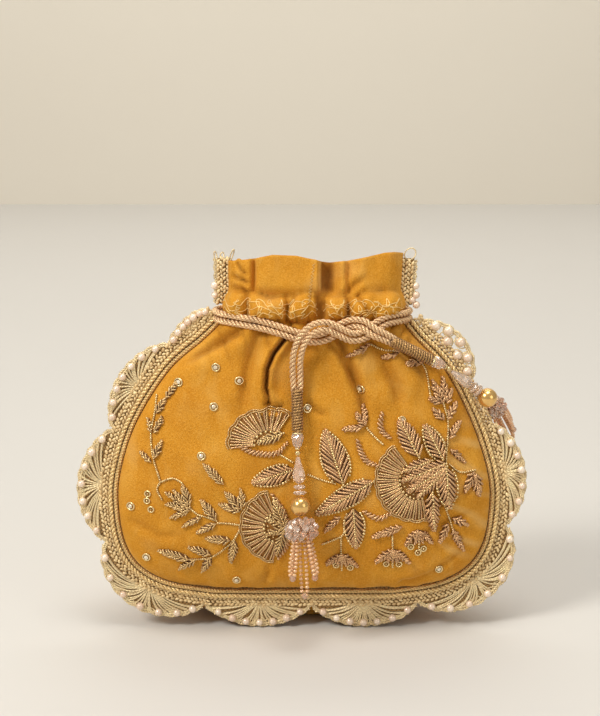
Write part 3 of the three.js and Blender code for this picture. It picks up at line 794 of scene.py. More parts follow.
# x and outward height across the ruffle and across the casing under it
FRONT_RUFFLE = np.array([
    (-37, 0), (-34.6, 1.2), (-32.4, 0.4), (-29.8, 1.4), (-27.9, 0.6), (-25.7, 1.3), (-24.6, 0.4),
    (-23.8, -2.9), (-22.8, 1.2), (-21, 2.2), (-14, 2.6), (-5, 2.3), (3, 2.4), (6.3, 3.1), (7.0, 2.4),
    (7.6, -2.0), (9.5, -2.9), (13, -2.4), (15.2, -1.0), (16.6, 0.9), (18.3, 1.6), (19.9, 0.8), (20.7, -1.6),
    (21.8, 0.6), (27, 1.7), (34, 1.3), (40, 1.7), (45, 0.8), (48, 0),
])
BACK_RUFFLE = np.array([
    (-37, 0), (-32, 1.5), (-26, 0.8), (-23, -2.2), (-20, 1.2), (-12, 2.0), (-4, 1.0), (-1, -2.4), (3, 1.4),
    (12, 2.2), (19, 1.2), (22, -2.0), (26, 1.3), (35, 1.8), (42, 0.8), (48, 0),
])
FRONT_CASING = np.array([
    (-38, 0), (-36, 1.6), (-32, 2.8), (-28.8, 1.6), (-26.6, -1.4), (-24.8, 1.6), (-20, 3.0), (-13, 3.0),
    (-9.6, 1.8), (-8.0, -1.6), (-6.6, 1.4), (-2.5, 2.6), (1.5, 1.8), (3.2, 0.3), (4.6, 0.9), (6.2, -1.6),
    (9.4, -1.8), (11.2, 0.8), (14.5, 2.9), (18.6, 2.2), (20.7, -2.0), (22.6, 1.6), (26, 2.6), (34, 2.9),
    (40, 2.8), (45, 1.4), (48, 0),
])
BACK_CASING = np.array([
    (-38, 0), (-34, 2.4), (-28, 2.6), (-24, -1.4), (-20, 2.4), (-12, 2.8), (-6, 1.6), (-2, -1.6), (2, 2.2),
    (10, 3.0), (18, 2.0), (22, -1.6), (26, 2.4), (34, 2.8), (42, 1.8), (48, 0),
])
HEM_RISE = np.array([
    (-37, -2), (-30, -1.4), (-24, -0.8), (-15, 1.0), (-4, 0.6), (7, -1.8), (12, -2.4), (20, -1.8),
    (30, 0.0), (38, 2.0), (44, 2.4), (48, 1.8),
])


def smooth_profile(x, knots):
    """Heights across the pleats, rounded a little at each knot."""
    reach = 0.7
    return sum(np.interp(x + step * reach, knots[:, 0], knots[:, 1]) for step in (-1, -0.5, 0, 0.5, 1)) / 5


def crease(x, z, rows, weight):
    """The height that a set of creases adds, and the painted shade that darkens them."""
    out, crease_shade = np.zeros(x.shape), np.zeros(x.shape)
    for path, depth, width, lift, dark in rows:
        gap, share = near_line(x, z, path)
        fade = (1 - 0.8 * ease(share, 0.7, 1.0)) * weight
        valley = np.exp(-(gap / width) ** 2) * fade
        out = out - depth * valley + lift * np.exp(-((gap - 2.4 * width) / (1.9 * width)) ** 2) * fade
        # painted shade, darkest down the middle of each crease
        crease_shade = np.maximum(crease_shade, dark * valley)
    return out, crease_shade


def relief(points, plan, seed):
    """How far the folds stand out from the smooth surface, and how much painted shade darkens each place in
    the creases.
    """
    x, z = points[..., 0], points[..., 2]
    out = 0.55 * ripple(x, z, 46, seed) + 0.22 * ripple(x, z, 17, seed + 1)
    body = 1 - ease(z, 151, 156)
    height, crease_shade = crease(x, z, plan["creases"], body)
    out = out + height
    height, dark = crease(x, z, plan["wrinkles"], ease(z, 157, 160))
    out = out + height
    # the wrinkles' painted shade
    crease_shade = np.maximum(crease_shade, dark)
    # gathers under the cord, each running down a different way
    fan = x + 0.012 * (CORD_HEIGHT - z) * (x - 4)
    reach = 15 + 8 * ripple(fan, 0 * fan, 15, seed + 2)
    under = np.exp(-((CORD_HEIGHT - z) / np.maximum(reach, 6)) ** 2) * (z < CORD_HEIGHT + 0.5)
    gather = pleats(fan, 9.0, seed + 3)
    out = out + 2.2 * (gather - 0.6) * under
    # painted shade in the creases between the gathers
    crease_shade = np.maximum(crease_shade, 0.45 * (1 - gather) ** 2.5 * under)
    out = out + 0.3 * ripple(x, z, 8, seed + 4) * (1 - ease(z, 26, 40))
    # the casing's puffs over the cord, and the ruffle above them
    lip = CASING_TOP + 1.3 * np.sin(x / 5.2 + 1) + 0.6 * np.sin(x / 2.1)
    arch = np.sin(math.pi * np.clip((z - CASING_FOOT) / (lip + 0.8 - CASING_FOOT), 0, 1))
    in_casing = arch ** 0.6
    profile = 1.5 * smooth_profile(x, plan["casing"])
    out = out + in_casing * profile + arch ** 0.8 * 1.7
    # painted shade in the hollows of the casing's puffs
    crease_shade = np.maximum(crease_shade, 0.7 * in_casing * ease(-profile, 0.1, 1.8))
    out = out - 0.9 * np.exp(-((z - lip) / 0.9) ** 2) - 1.0 * np.exp(-((z - CORD_HEIGHT) / 2.2) ** 2)
    # painted shade under the casing's lip
    crease_shade = np.maximum(crease_shade, 0.3 * np.exp(-((z - lip) / 0.8) ** 2))
    tucks = pleats(x + 0.1 * (z - CORD_HEIGHT) * np.sin(x / 3), 4.2, seed + 7)
    pulled = np.exp(-((z - CORD_HEIGHT) / 5) ** 2) * (z > CORD_HEIGHT - 1)
    out = out + 1.1 * (tucks - 0.6) * pulled + 0.45 * arch * ripple(x, z, 6.5, seed + 5)
    # painted shade in the tucks
    crease_shade = np.maximum(crease_shade, 0.5 * (1 - tucks) ** 2 * pulled)
    open_out = ease(z, RUFFLE_FOOT, RUFFLE_FOOT + 5)
    profile = 1.4 * smooth_profile(x, plan["ruffle"])
    out = out + open_out * (profile + 0.35 * ripple(x, z, 13, seed + 6))
    # painted shade in the ruffle's valleys
    crease_shade = np.maximum(crease_shade, open_out * 0.75 * ease(-profile, 0.8, 3.8))
    return out, crease_shade


FRONT_PLAN = dict(creases=FRONT_CREASES, wrinkles=FRONT_WRINKLES, ruffle=FRONT_RUFFLE, casing=FRONT_CASING)
BACK_PLAN = dict(creases=BACK_CREASES, wrinkles=BACK_WRINKLES, ruffle=BACK_RUFFLE, casing=BACK_CASING)


def panel_places(columns, rows):
    """Where a panel's places lie: closer together towards its two sides."""
    across = np.sin(np.linspace(-math.pi / 2, math.pi / 2, columns + 1))
    rise = np.linspace(0, 1, rows + 1) ** 0.96
    return np.meshgrid(across, rise)


def panel_faces(columns, rows, reversed_order):
    stride = columns + 1
    corner = (np.arange(rows)[:, None] * stride + np.arange(columns)[None, :]).ravel()
    order = [corner, corner + 1, corner + stride + 1, corner + stride]
    return np.stack(order[::-1] if reversed_order else order, axis=1)


def deepest_nearby(out):
    """The deepest of each place and its neighbours, so that the lining stays behind the velvet's creases."""
    rows, columns = out.shape
    padded = np.pad(out, 1, mode="edge")
    return np.min([padded[r:r + rows, c:c + columns] for r in range(3) for c in range(3)], axis=0)


def rubbed_pile(x, z, strength, seed):
    """How much the pile is rubbed: most low on the right, and in loose patches elsewhere."""
    low_right = ease(x, 52, 72) * ease(z, 34, 48) * (1 - ease(z, 92, 112))
    streaks = low_right * ease(ripple(x * 0.5 + z, x * 0.25, 9, seed + 8), -0.2, 1.2)
    both = streaks * 0.8 + 0.4 * ease(ripple(x, z, 26, seed + 9), 0.5, 1.6)
    return np.clip(both * strength, 0, 1)


def folded(side_line, plan, columns, rows, seed, inset):
    """A panel's places with all its folds, how much painted shade darkens each place in the creases, and how
    rubbed each place is.
    """
    across, rise = panel_places(columns, rows)
    points = base_panel(side_line, across, rise, inset)
    out, crease_shade = relief(points, plan, seed)
    if inset:
        out = deepest_nearby(out)
    run_u = np.gradient(points, axis=1)
    run_v = np.gradient(points, axis=0)
    normal = unit(np.cross(run_u, run_v))
    sign = -1 if side_line is FRONT_LINE else 1
    normal = normal * np.sign(np.mean(normal[..., 1]) * sign)
    half = np.maximum(np.abs(points[:, -1, 0] - points[:, 0, 0])[:, None] / 2, 1)
    edge = ease((1 - np.abs(across)) * half, 0, 5)
    low = ease(rise, 0, 0.09)
    points = points + normal * (out * edge * low)[..., None]
    hem = ease(points[..., 2], RUFFLE_FOOT, HEM)
    rise_at_hem = np.interp(points[..., 0], HEM_RISE[:, 0], HEM_RISE[:, 1])
    points[..., 2] += hem * rise_at_hem * (1 if sign < 0 else 0.5)
    points[..., 2] = np.maximum(points[..., 2], inset)
    rub = rubbed_pile(points[..., 0], points[..., 2], 1.0 if sign < 0 else 0.3, seed)
    return points, crease_shade * edge, rub


def cloth(name, side_line, plan, columns, rows, seed, material, thickness, inset=0.0):
    """One folded panel with its real thickness. The lining ends a little below the velvet's hem."""
    points, crease_shade, rub = folded(side_line, plan, columns, rows, seed, inset)
    if inset:
        points[-1, :, 2] -= 1.2
    made = piece(name, points.reshape(-1, 3), panel_faces(columns, rows, side_line is BACK_LINE), material)
    # the painted crease shade that the velvet's colour reads
    note(made, "crease_shade", crease_shade.ravel())
    note(made, "rub", rub.ravel())
    wall = made.modifiers.new("cloth thickness", "SOLIDIFY")
    wall.thickness = thickness * MILLIMETRE
    wall.offset = -1
    wall.use_even_offset = False
    return made, points


def make_panels():
    """The velvet panels and the lining halves. A panel and its lining share a seed, and so their folds."""
    front_seed, back_seed = 11, 31
    velvet = dict(material=VELVET, thickness=VELVET_THICKNESS)
    satin = dict(columns=110, rows=100, material=SATIN, thickness=LINING_THICKNESS, inset=LINING_INSET)
    front, front_points = cloth("velvet front", FRONT_LINE, FRONT_PLAN, columns=220, rows=200,
                                seed=front_seed, **velvet)
    back, _ = cloth("velvet back", BACK_LINE, BACK_PLAN, columns=150, rows=140, seed=back_seed, **velvet)
    lining_front, _ = cloth("satin lining front", FRONT_LINE, FRONT_PLAN, seed=front_seed, **satin)
    lining_back, _ = cloth("satin lining back", BACK_LINE, BACK_PLAN, seed=back_seed, **satin)
    settle(front, "bag", "velvet", "front_panel")
    settle(back, "bag", "velvet", "back_panel")
    settle(lining_front, "bag", "lining", "lining_front")
    settle(lining_back, "bag", "lining", "lining_back")
    return front_points


# ---------------------------------------------------------------- places beside the seam

def seam_places():
    """The seam from the top left round the bottom to the top right, and the distance along it."""
    rise = np.linspace(1, 0, 241)
    seam = through(SEAM_LINE, rise)
    shift = through(FRONT_LINE, rise)[:, 0]
    left = np.stack([shift - seam[:, 0], seam[:, 1], seam[:, 2]], axis=1)
    right = np.stack([shift + seam[:, 0], seam[:, 1], seam[:, 2]], axis=1)[::-1]
    line = np.vstack([left, right])
    reach = np.concatenate([[0], np.cumsum(np.linalg.norm(np.diff(line, axis=0), axis=1))])
    return line, reach - reach[-1] / 2


SEAM, SEAM_REACH = seam_places()
SEAM_END = SEAM_REACH[-1]


def on_seam(distance):
    return np.stack([np.interp(distance, SEAM_REACH, SEAM[:, k]) for k in range(3)], axis=-1)


def beside_seam(distance, outward, forward):
    """Places beside the seam: distance from the middle of the bottom, outward, and forward to -Y."""
    given = [np.asarray(v, float) for v in (distance, outward, forward)]
    distance, outward, forward = np.broadcast_arrays(*given)
    run = on_seam(np.minimum(distance + 2, SEAM_END)) - on_seam(np.maximum(distance - 2, -SEAM_END))
    normal = unit(np.stack([run[..., 2], 0 * run[..., 0], -run[..., 0]], axis=-1))
    points = on_seam(distance) + normal * outward[..., None]
    points[..., 1] -= forward
    return points


# ---------------------------------------------------------------- piping and lace

LACE_BAND = 9.0                    # how far the lace reaches between two scallops
LACE_LOW = 5.6                     # how far it reaches in the low stretch under the right tassel
LOW_STRETCH = (159, 181)
# distance along the seam at the start and the end, and the reach of each scallop
SCALLOPS = [
    (-225, -196, 14), (-196, -150, 19), (-150, -97.5, 20.8), (-97.5, -45.5, 20.8), (-45.5, 6.5, 20.8),
    (6.5, 58.5, 20.8), (58.5, 110.5, 20.8), (110.5, 159, 19), (181, 217, 17),
]
LACE_MIDDLE = 0.6                  # forward place of the middle of the lace's thickness


def lace_depth(distance):
    """How far the lace reaches outward from the seam."""
    distance = np.asarray(distance, float)
    depth = np.full(distance.shape, LACE_BAND)
    for start, end, deep in SCALLOPS:
        f = np.clip((distance - start) / (end - start), 0, 1)
        inside = (distance >= start) & (distance <= end)
        depth = np.where(inside, LACE_BAND + (deep - LACE_BAND) * np.sin(math.pi * f) ** 0.6, depth)
    return np.where((distance > LOW_STRETCH[0]) & (distance < LOW_STRETCH[1]), LACE_LOW, depth)


def make_piping():
    """Two rows of laid cord beside the seam."""
    rows = (("piping_inner", 1.1, 3.0, DARK_PIPING), ("piping_outer", 3.7, 4.4, PIPING_THREAD))
    for name, outward, pitch, thread in rows:
        line = beside_seam(np.linspace(-223, 222, 446), outward, 2.6)
        made = rope(name + " braid", [line], ply=0.68, lay=0.6, pitch=pitch, step=0.55, material=thread,
                    plies=2, sides=6)
        settle(made, "bag", "piping", name)


def braid_rows(rows, start, end, pitch, forward, sign):
    """Chain stitches in rows beside the seam, leaning one way and the other in turn."""
    places, headings = [], []
    for row, outward in enumerate(rows):
        distance = np.arange(start + (row % 2) * pitch / 2, end, pitch)
        points = beside_seam(distance, outward, forward)
        run = unit(beside_seam(distance + 0.5, outward, forward)
                   - beside_seam(distance - 0.5, outward, forward))
        out = unit(beside_seam(distance, outward + 1, forward) - points)
        lean = 0.62 if row % 2 else -0.62
        places.append(points)
        headings.append(unit(run + lean * out + np.array([0, -0.1 * sign, 0])))
    return np.vstack(places), np.vstack(headings)


def fan_threads(start, end, chance):
    """The threads of one scallop: they spread from an eyelet at the band and fork near the rim."""
    rays, forks, pearls = [], [], []
    middle = (start + end) / 2
    count = max(int((end - start) / 3.5), 6)
    eye = np.array([middle, 6.8])
    shares = np.linspace(0.05, 0.95, count)
    rim = np.stack([start + (end - start) * shares, lace_depth(start + (end - start) * shares) - 1.3], axis=1)
    rim[:, 1] = np.maximum(rim[:, 1], 8.2)
    t = np.linspace(0, 1, 12)[:, None]
    for tip in rim:
        aim = tip - eye
        side = np.sign(aim[0]) * min(abs(aim[0]) / (end - start) * 2, 1)
        root = eye + np.array([side * 1.6, 1.0 - 0.8 * abs(side)])
        bow = root + aim * 0.5 + np.array([-side * 2.4, 2.6 * (1 - abs(side) * 0.4)])
        for way in (-0.5, 0.5):
            sway = np.array([way * 0.9, 0.0]) + chance.normal(0, 0.3, 2)
            pull = bow + sway * 1.2 + chance.normal(0, 0.35, 2)
            rays.append((1 - t) ** 2 * (root - sway * 0.4) + 2 * t * (1 - t) * pull
                        + t**2 * (tip + sway * 1.2))
        fork = rays[-1][7]
        spread = (end - start) / count * 0.5
        w = np.linspace(0, 1, 7)[:, None]
        for way in (-1, 1):
            leaf = tip + np.array([way * spread, -0.1])
            forks.append((1 - w) * fork + w * leaf + np.array([way * 0.7, 0]) * np.sin(math.pi * w))
    for share in (0.11, 0.24, 0.37, 0.5, 0.63, 0.76, 0.89):
        at = start + (end - start) * share
        pearls.append((at, max(float(lace_depth(at)) - 2.7, 7.6)))
    return rays, forks, pearls


def open_work(start, end):
    """The right shoulder's scallop: pearls held between bent wires, with gaps that show through."""
    wires, pearls = [], []
    turn = np.linspace(0, math.tau, 15)
    length = end - start
    for share, outward in ((0.13, 8.6), (0.27, 12.2), (0.45, 14.0), (0.64, 13.6), (0.82, 11.0), (0.36, 8.8),
                           (0.56, 9.6)):
        at = start + length * share
        pearls.append((at, outward))
        wires.append(np.stack([at + 2.6 * np.cos(turn), outward + 2.6 * np.sin(turn)], axis=1))
    for share in (0.06, 0.2, 0.33, 0.5, 0.68, 0.8, 0.93):
        at = start + length * share
        wires.append(np.array([(at, 5.4), (at + 0.8, 7.2), (at - 0.4, float(lace_depth(at)) - 1.0)]))
    return wires, pearls


def lifted(line, wave=0.0, forward=LACE_MIDDLE):
    """Lace lines given as distance and outward, put in their place with a little rise and fall."""
    line = np.asarray(line, float)
    rise = forward + wave * np.sin(np.linspace(0, math.pi, len(line)))
    return beside_seam(line[:, 0], line[:, 1], rise)


def top_loops():
    """Loose ends of the edging at the top corners: three small loops and one wire ring."""
    loops = []
    for x, z, width, height, lean in ((-42.0, 184.0, 0.6, 4.6, -0.3), (-39.4, 184.6, 0.9, 3.6, 0.2),
                                      (-35.6, 184.0, 0.6, 5.6, 0.7), (50.2, 184.6, 2.7, 5.6, 0.35)):
        turn = np.linspace(-math.pi / 2, 1.5 * math.pi, 22)
        rise = (1 + np.sin(turn)) / 2 * height
        loops.append(np.stack([x + width * np.cos(turn) + lean * rise * 0.5, -0.8 + 0.4 * np.sin(2 * turn),
                               z + rise], axis=1))
    return loops


def make_ground():
    """The thin knotted ground that backs the threads, coloured dark as painted shade between them, and left
    out where the lace is open work.
    """
    points, faces = [], []
    # first and last distance along the seam, and how far out the ground goes: None is under the scallops
    spans = [(-225, 181, None), (-SEAM_END + 0.5, -231.5, 5.4), (231.5, SEAM_END - 0.5, 5.4), (181, 223, 5.0)]
    rings, hidden = 7, 1.4         # rows of places across, and how far the ground goes in under the piping
    for start, end, reach in spans:
        distance = np.arange(start, end, 1.2)
        outer = np.full(distance.shape, reach) if reach else lace_depth(distance) - 1.9
        for share in np.linspace(0, 1, rings):
            out = -hidden + (outer + hidden) * share
            under_piping = 1.35 * (1 - ease(out, 3.6, 6.4)) if max(outer) > 5.5 else 0
            points.append(beside_seam(distance, out, LACE_MIDDLE - 0.12 + under_piping))
        first = sum(len(p) for p in points[:-rings])
        n = len(distance)
        for row in range(rings - 1):
            for k in range(n - 1):
                a = first + row * n + k
                faces.append((a, a + 1, a + n + 1, a + n))
    made = piece("lace ground and painted shade", np.vstack(points), faces, LACE_NET_AND_SHADE)
    wall = made.modifiers.new("thread thickness", "SOLIDIFY")
    wall.thickness = 0.0004
    wall.offset = 0
    return made


def make_lace():
    """The trim: forked threads, eyelets, twisted rims, chain stitches, knotted ground dark with painted shade,
    and pearls.
    """
    chance = np.random.default_rng(5)
    rays, forks, pearls, loops = [], [], [], []
    for start, end, _ in SCALLOPS[:-1]:
        more_rays, more_forks, more_pearls = fan_threads(start, end, chance)
        rays += [lifted(line, chance.uniform(0.2, 0.9)) for line in more_rays]
        rays += [lifted(line, -0.4, 0.35) for line in more_rays[::2]]
        forks += [lifted(line, 0.3) for line in more_forks]
        pearls += more_pearls
        eye = (start + end) / 2
        turn = np.linspace(0, math.tau, 13)
        for size in (1.5, 2.4):
            circle = np.stack([eye + size * np.cos(turn), 6.9 + size * np.sin(turn)], axis=1)
            loops.append(lifted(circle, 0.2))
    shoulder = open_work(*SCALLOPS[-1][:2])
    forks += [lifted(line) for line in shoulder[0]]
    distance = np.arange(-225, 219, 0.8)
    depth = lace_depth(distance)
    low = (distance > LOW_STRETCH[0] - 1) & (distance < LOW_STRETCH[1] + 1)
    picot = 0.8 * np.abs(np.sin(distance * math.pi / 5.2)) + chance.normal(0, 0.1, len(distance))
    rim = np.where(low, LACE_LOW - 0.9, depth - 1.5 + picot)
    rim_line = beside_seam(distance, rim, LACE_MIDDLE)
    inner = beside_seam(distance, np.where(low, 4.4, np.maximum(depth - 2.1, 6.5)), LACE_MIDDLE + 0.15)
    sides = [np.arange(-SEAM_END + 0.8, -231, 0.8), np.arange(232, SEAM_END - 0.5, 0.8)]
    ruffle_rims = [beside_seam(s, 5.9 + 0.7 * np.abs(np.sin(s * math.pi / 4.2)), LACE_MIDDLE) for s in sides]
    ruffle_inner = [beside_seam(s, 5.2, LACE_MIDDLE) for s in sides]
    lace_threads = threads("lace threads", rays, radius=0.46, material=LACE_THREAD, sides=5)
    fork_threads = threads("lace forks", forks + loops + top_loops(), radius=0.34, material=LACE_THREAD,
                           sides=5)
    rims = rope("lace rim", [rim_line, inner] + ruffle_rims + ruffle_inner, ply=0.42, lay=0.36, pitch=2.6,
                step=0.6, material=LACE_THREAD, plies=2, sides=5)
    # the band's chain stitches, on the front outside the piping and all over the back
    front_rows = braid_rows([5.6, 7.1, 8.6], start=-225, end=222, pitch=2.0, forward=1.25, sign=1)
    back_rows = braid_rows([0.9, 2.5, 4.1, 5.7, 7.3, 8.6], start=-216, end=216, pitch=1.9, forward=-0.05,
                           sign=-1)
    side_rows = [braid_rows([0.2, 1.7, 3.2, 4.7], s[0], s[-1], pitch=2.1, forward=f, sign=1)
                 for s in sides for f in (1.4, 0.0)]
    low_rows = braid_rows([4.9], start=158, end=182, pitch=1.9, forward=1.2, sign=1)
    places = np.vstack([front_rows[0], back_rows[0], low_rows[0]] + [r[0] for r in side_rows])
    headings = np.vstack([front_rows[1], back_rows[1], low_rows[1]] + [r[1] for r in side_rows])
    places = places + chance.normal(0, 0.13, places.shape)
    headings = headings + chance.normal(0, 0.14, headings.shape)
    stitches = beads("lace stitches", places, headings, chance.uniform(0.88, 1.14, len(places)), 0.78,
                     LACE_STITCH, stretch=1.55, segments=6, rings=4)
    ground = make_ground()
    ruffle_pearls = ((231.5, 7.6), (234, 5.6), (236.5, 7.4), (241, 7.0), (-236, 6.6), (-241, 6.7))
    pearl_places = np.array([beside_seam(d, o, LACE_MIDDLE + 0.9) for d, o in pearls]
                            + [beside_seam(d, o, LACE_MIDDLE) for d, o in ruffle_pearls])
    sizes = np.random.default_rng(3).uniform(0.95, 1.15, len(pearl_places))
    pearl_places = np.vstack([pearl_places] + [beside_seam(d, o, LACE_MIDDLE)[None] for d, o in shoulder[1]])
    sizes = np.concatenate([sizes, np.full(len(shoulder[1]), 1.35)])
    pearl_set = beads("lace pearls", pearl_places, np.tile([0, 1, 0], (len(pearl_places), 1)), sizes, 1.75,
                      PEARL, segments=16, rings=10)
    settle(ground, "bag", "lace", "lace_trim", "lace_ruffle_left", "lace_ruffle_right")
    for made in (lace_threads, fork_threads, rims, stitches):
        settle(made, "bag", "lace")
    settle(pearl_set, "bag", "pearl")


# ---------------------------------------------------------------- tassels

# the length of each part along the tassel, with the radius for the two round ones (knot and ball)
KNOT, TEARDROP, RONDELLE, BALL, CLUSTER, CAP, GAP = 1.4, 12.9, 5.2, 4.75, 11.0, 8.2, 0.3


def axes_along(direction):
    """Two directions square to a given one."""
    direction = unit(direction)
    helper = np.array([0, 1, 0]) if abs(direction[1]) < 0.8 else np.array([1, 0, 0])
    first = unit(np.cross(direction, helper))
    return first, np.cross(direction, first)


def turned(name, start, direction, profile, sides, material, smooth=False, twist=0.0):
    """A closed piece turned about an axis: profile gives radius and depth below the start."""
    first, second = axes_along(direction)
    direction = unit(direction)
    points, faces = [], []
    for row, (radius, depth) in enumerate(profile):
        for k in range(sides):
            angle = math.tau * (k + twist * row) / sides
            out = math.cos(angle) * first + math.sin(angle) * second
            points.append(start + direction * depth + radius * out)
    for row in range(len(profile) - 1):
        for k in range(sides):
            a, b = row * sides + k, row * sides + (k + 1) % sides
            faces.append((a, b, b + sides, a + sides))
    faces.append(tuple(range(sides))[::-1])
    faces.append(tuple(len(points) - sides + k for k in range(sides)))
    made = piece(name, points, faces, material, smooth)
    fix_outward(made)
    return made


def fix_outward(made):
    """Turn a closed mesh so that its faces point out."""
    mesh = made.data
    volume = 0.0
    for face in mesh.polygons:
        corners = [mesh.vertices[v].co for v in face.vertices]
        for b, c in zip(corners[1:-1], corners[2:]):
            volume += corners[0].dot(b.cross(c))
    if volume < 0:
        mesh.flip_normals()


def ball(name, centre, radius, material, segments, rings):
    """One round bead."""
    return beads(name, [centre], [[0, 0, 1]], 1.0, radius, material, segments=segments, rings=rings)


def make_sleeve(name, start, end):
    """Wire wound over the end of the cord, with a crystal cap under it."""
    start, end = np.array(start, float), np.array(end, float)
    run = unit(end - start)
    reach = np.linalg.norm(end - start)
    line = start + run * np.linspace(0.5, reach - 0.4, 60)[:, None]
    winding = rope(f"{name} sleeve winding", [line], ply=0.55, lay=2.35, pitch=2.7, step=0.12,
                   material=WOUND_WIRE, plies=2, sides=6)
    core = turned(f"{name} sleeve core", start + run * 0.1, run,
                  [(0.6, 0), (2.3, 0.3), (2.3, reach - 0.5), (0.6, reach - 0.1)], 24, WOUND_WIRE, True)
    settle(core, "bag", "wound_wire", f"{name}_sleeve")
    settle(winding, "bag", "wound_wire")
    top = end + run * GAP
    profile = [(0.9, 0.1), (2.6, 0.6), (3.0, 2.4), (2.7, 4.6), (1.9, 6.7), (0.7, 7.9)]
    cap = turned(f"{name} crystal cap", top, run, profile, 8, CRYSTAL, twist=0.5)
    settle(cap, "bag", "crystal", f"{name}_cap")
    ring_lines = []
    first, second = axes_along(run)
    for depth, radius in ((0.3, 2.5), (7.9, 1.0)):
        turn = np.linspace(0, math.tau, 25)[:, None]
        ring_lines.append(top + run * depth + radius * (np.cos(turn) * first + np.sin(turn) * second))
    rings = threads(f"{name} cap rings", ring_lines, radius=0.35, material=BRIGHT_BEAD, sides=6)
    settle(rings, "bag", "gold_bead")
    return top + run * CAP, [core, winding, cap, rings]


def make_tassel(name, cap_end, upper, lower, hang, spread):
    """One tassel: upper, lower and hang are the ways its drop, its cluster and its strands point."""
    upper, lower, hang = unit(upper), unit(lower), unit(hang)
    knot_body = "front_loop" if name == "front" else "right_upper"
    upper_body, lower_body = f"{name}_upper", f"{name}_lower"
    knot = cap_end + upper * (GAP + KNOT)
    knot_piece = ball(f"{name} knot bead", knot, KNOT, BRIGHT_BEAD, segments=16, rings=10)
    settle(knot_piece, knot_body, "gold_bead", f"{name}_knot")
    drop_start = knot + upper * (KNOT + GAP)
    profile = [(0.5, 0), (0.9, 0.2), (1.7, 3.6), (2.5, 6.6), (3.0, 9.0), (2.6, 11.2), (1.4, 12.5), (0.5, 12.9)]
    drop = turned(f"{name} crystal drop", drop_start, upper, profile, 8, CRYSTAL)
    settle(drop, upper_body, "crystal", f"{name}_teardrop")
    wheel = knot + upper * (KNOT + GAP + TEARDROP + GAP)
    rondelles = []
    for k, (depth, radius) in enumerate(((0.0, 2.9), (2.7, 3.2))):
        profile = [(0.8, 0), (radius * 0.75, 0.25), (radius, 1.0), (radius, 1.5), (radius * 0.75, 2.2),
                   (0.8, 2.45)]
        rondelles.append(turned(f"{name} rondelle {k + 1}", wheel + upper * depth, upper, profile, 12,
                                CRYSTAL, twist=0.5))
    settle(rondelles[0], upper_body, "crystal", f"{name}_rondelle")
    settle(rondelles[1], upper_body, "crystal")
    bead = wheel + upper * (RONDELLE + GAP + BALL)
    gold = ball(f"{name} satin bead", bead, BALL, GOLD_BEAD, segments=40, rings=24)
    settle(gold, lower_body, "gold_bead", f"{name}_gold_bead")
    # the cluster: faceted beads in rings over a dome, and a skirt of longer ones
    first, second = axes_along(lower)
    top = bead + lower * (BALL + GAP)
    places, headings, sizes = [], [], []
    chance = np.random.default_rng(8)
    rim = 8.3 * spread
    for depth, radius, count, size in ((1.6, 0.32, 5, 0.8), (3.0, 0.60, 8, 0.95), (5.4, 0.78, 10, 1.0),
                                       (7.8, 0.82, 11, 1.0), (9.4, 0.62, 8, 0.9), (6.0, 0.36, 6, 0.95),
                                       (3.6, 0.0, 1, 1.2)):
        for k in range(count):
            angle = math.tau * (k + 0.5 * (count % 2)) / count + chance.normal(0, 0.07)
            out = math.cos(angle) * first + math.sin(angle) * second
            places.append(top + lower * (depth + chance.normal(0, 0.2)) + out * radius * rim)
            headings.append(unit(lower * 0.9 + out * 0.5 + chance.normal(0, 0.12, 3)))
            sizes.append(size * chance.uniform(0.9, 1.12) * (0.8 if spread < 1 else 1))
    cluster = beads(f"{name} crystal cluster", places, headings, np.array(sizes), radius=1.75,
                    material=CRYSTAL, stretch=1.12, segments=6, rings=4, faceted=True)
    settle(cluster, lower_body, "crystal", f"{name}_cluster")
    # strands of seed beads, folded into loops, with a crystal where each one turns
    root = bead + lower * (BALL + GAP + CLUSTER + 2 * GAP)
    first, second = axes_along(hang)
    seed_places, seed_headings, drops = [], [], []
    ring = 5.4 * spread
    for strand in range(1, 6):
        angle = (strand / 4 + 1 / 8) * math.tau
        offset = (0 if strand == 5 else ring) * (math.cos(angle) * first + math.sin(angle) * second)
        reach = 27.0 if strand == 5 else 18.0
        width = 1.2                # half the width of the folded strand
        low = offset * 1.02 + (np.array([offset[0] * 0.35, 0, 0]) if name == "front" else 0)
        across = unit(math.cos(angle + 1.1) * first + math.sin(angle + 1.1) * second)
        loop = [root - hang * 1.8 + offset * 0.8 - across * width * 0.5,
                root + hang * 4 + offset - across * width,
                root + hang * (reach - 4) + low - across * width * 1.1,
                root + hang * (reach - 1.2) + low,
                root + hang * (reach - 4) + low + across * width * 1.1,
                root + hang * 4 + offset + across * width,
                root - hang * 1.8 + offset * 0.8 + across * width * 0.5]
        line = smooth_line(loop, 1.95)
        seed_places.append(line)
        seed_headings.append(unit(np.gradient(line, axis=0)))
        drops.append(root + hang * (reach - 1.0) + low)
    strands = beads(f"{name} seed strands", np.vstack(seed_places), np.vstack(seed_headings), 1.0,
                    radius=1.02, material=SEED_BEAD, stretch=0.8, segments=8, rings=6)
    settle(strands, lower_body, "crystal", *[f"{name}_strand_{k}" for k in range(1, 6)])
    tips = beads(f"{name} strand crystals", drops, [[0, 0, 1]] * 5, 1.0, radius=1.55, material=CRYSTAL,
                 segments=8, rings=6, faceted=True)
    settle(tips, lower_body, "crystal")
    return [knot_piece, drop, *rondelles, gold, cluster, strands]


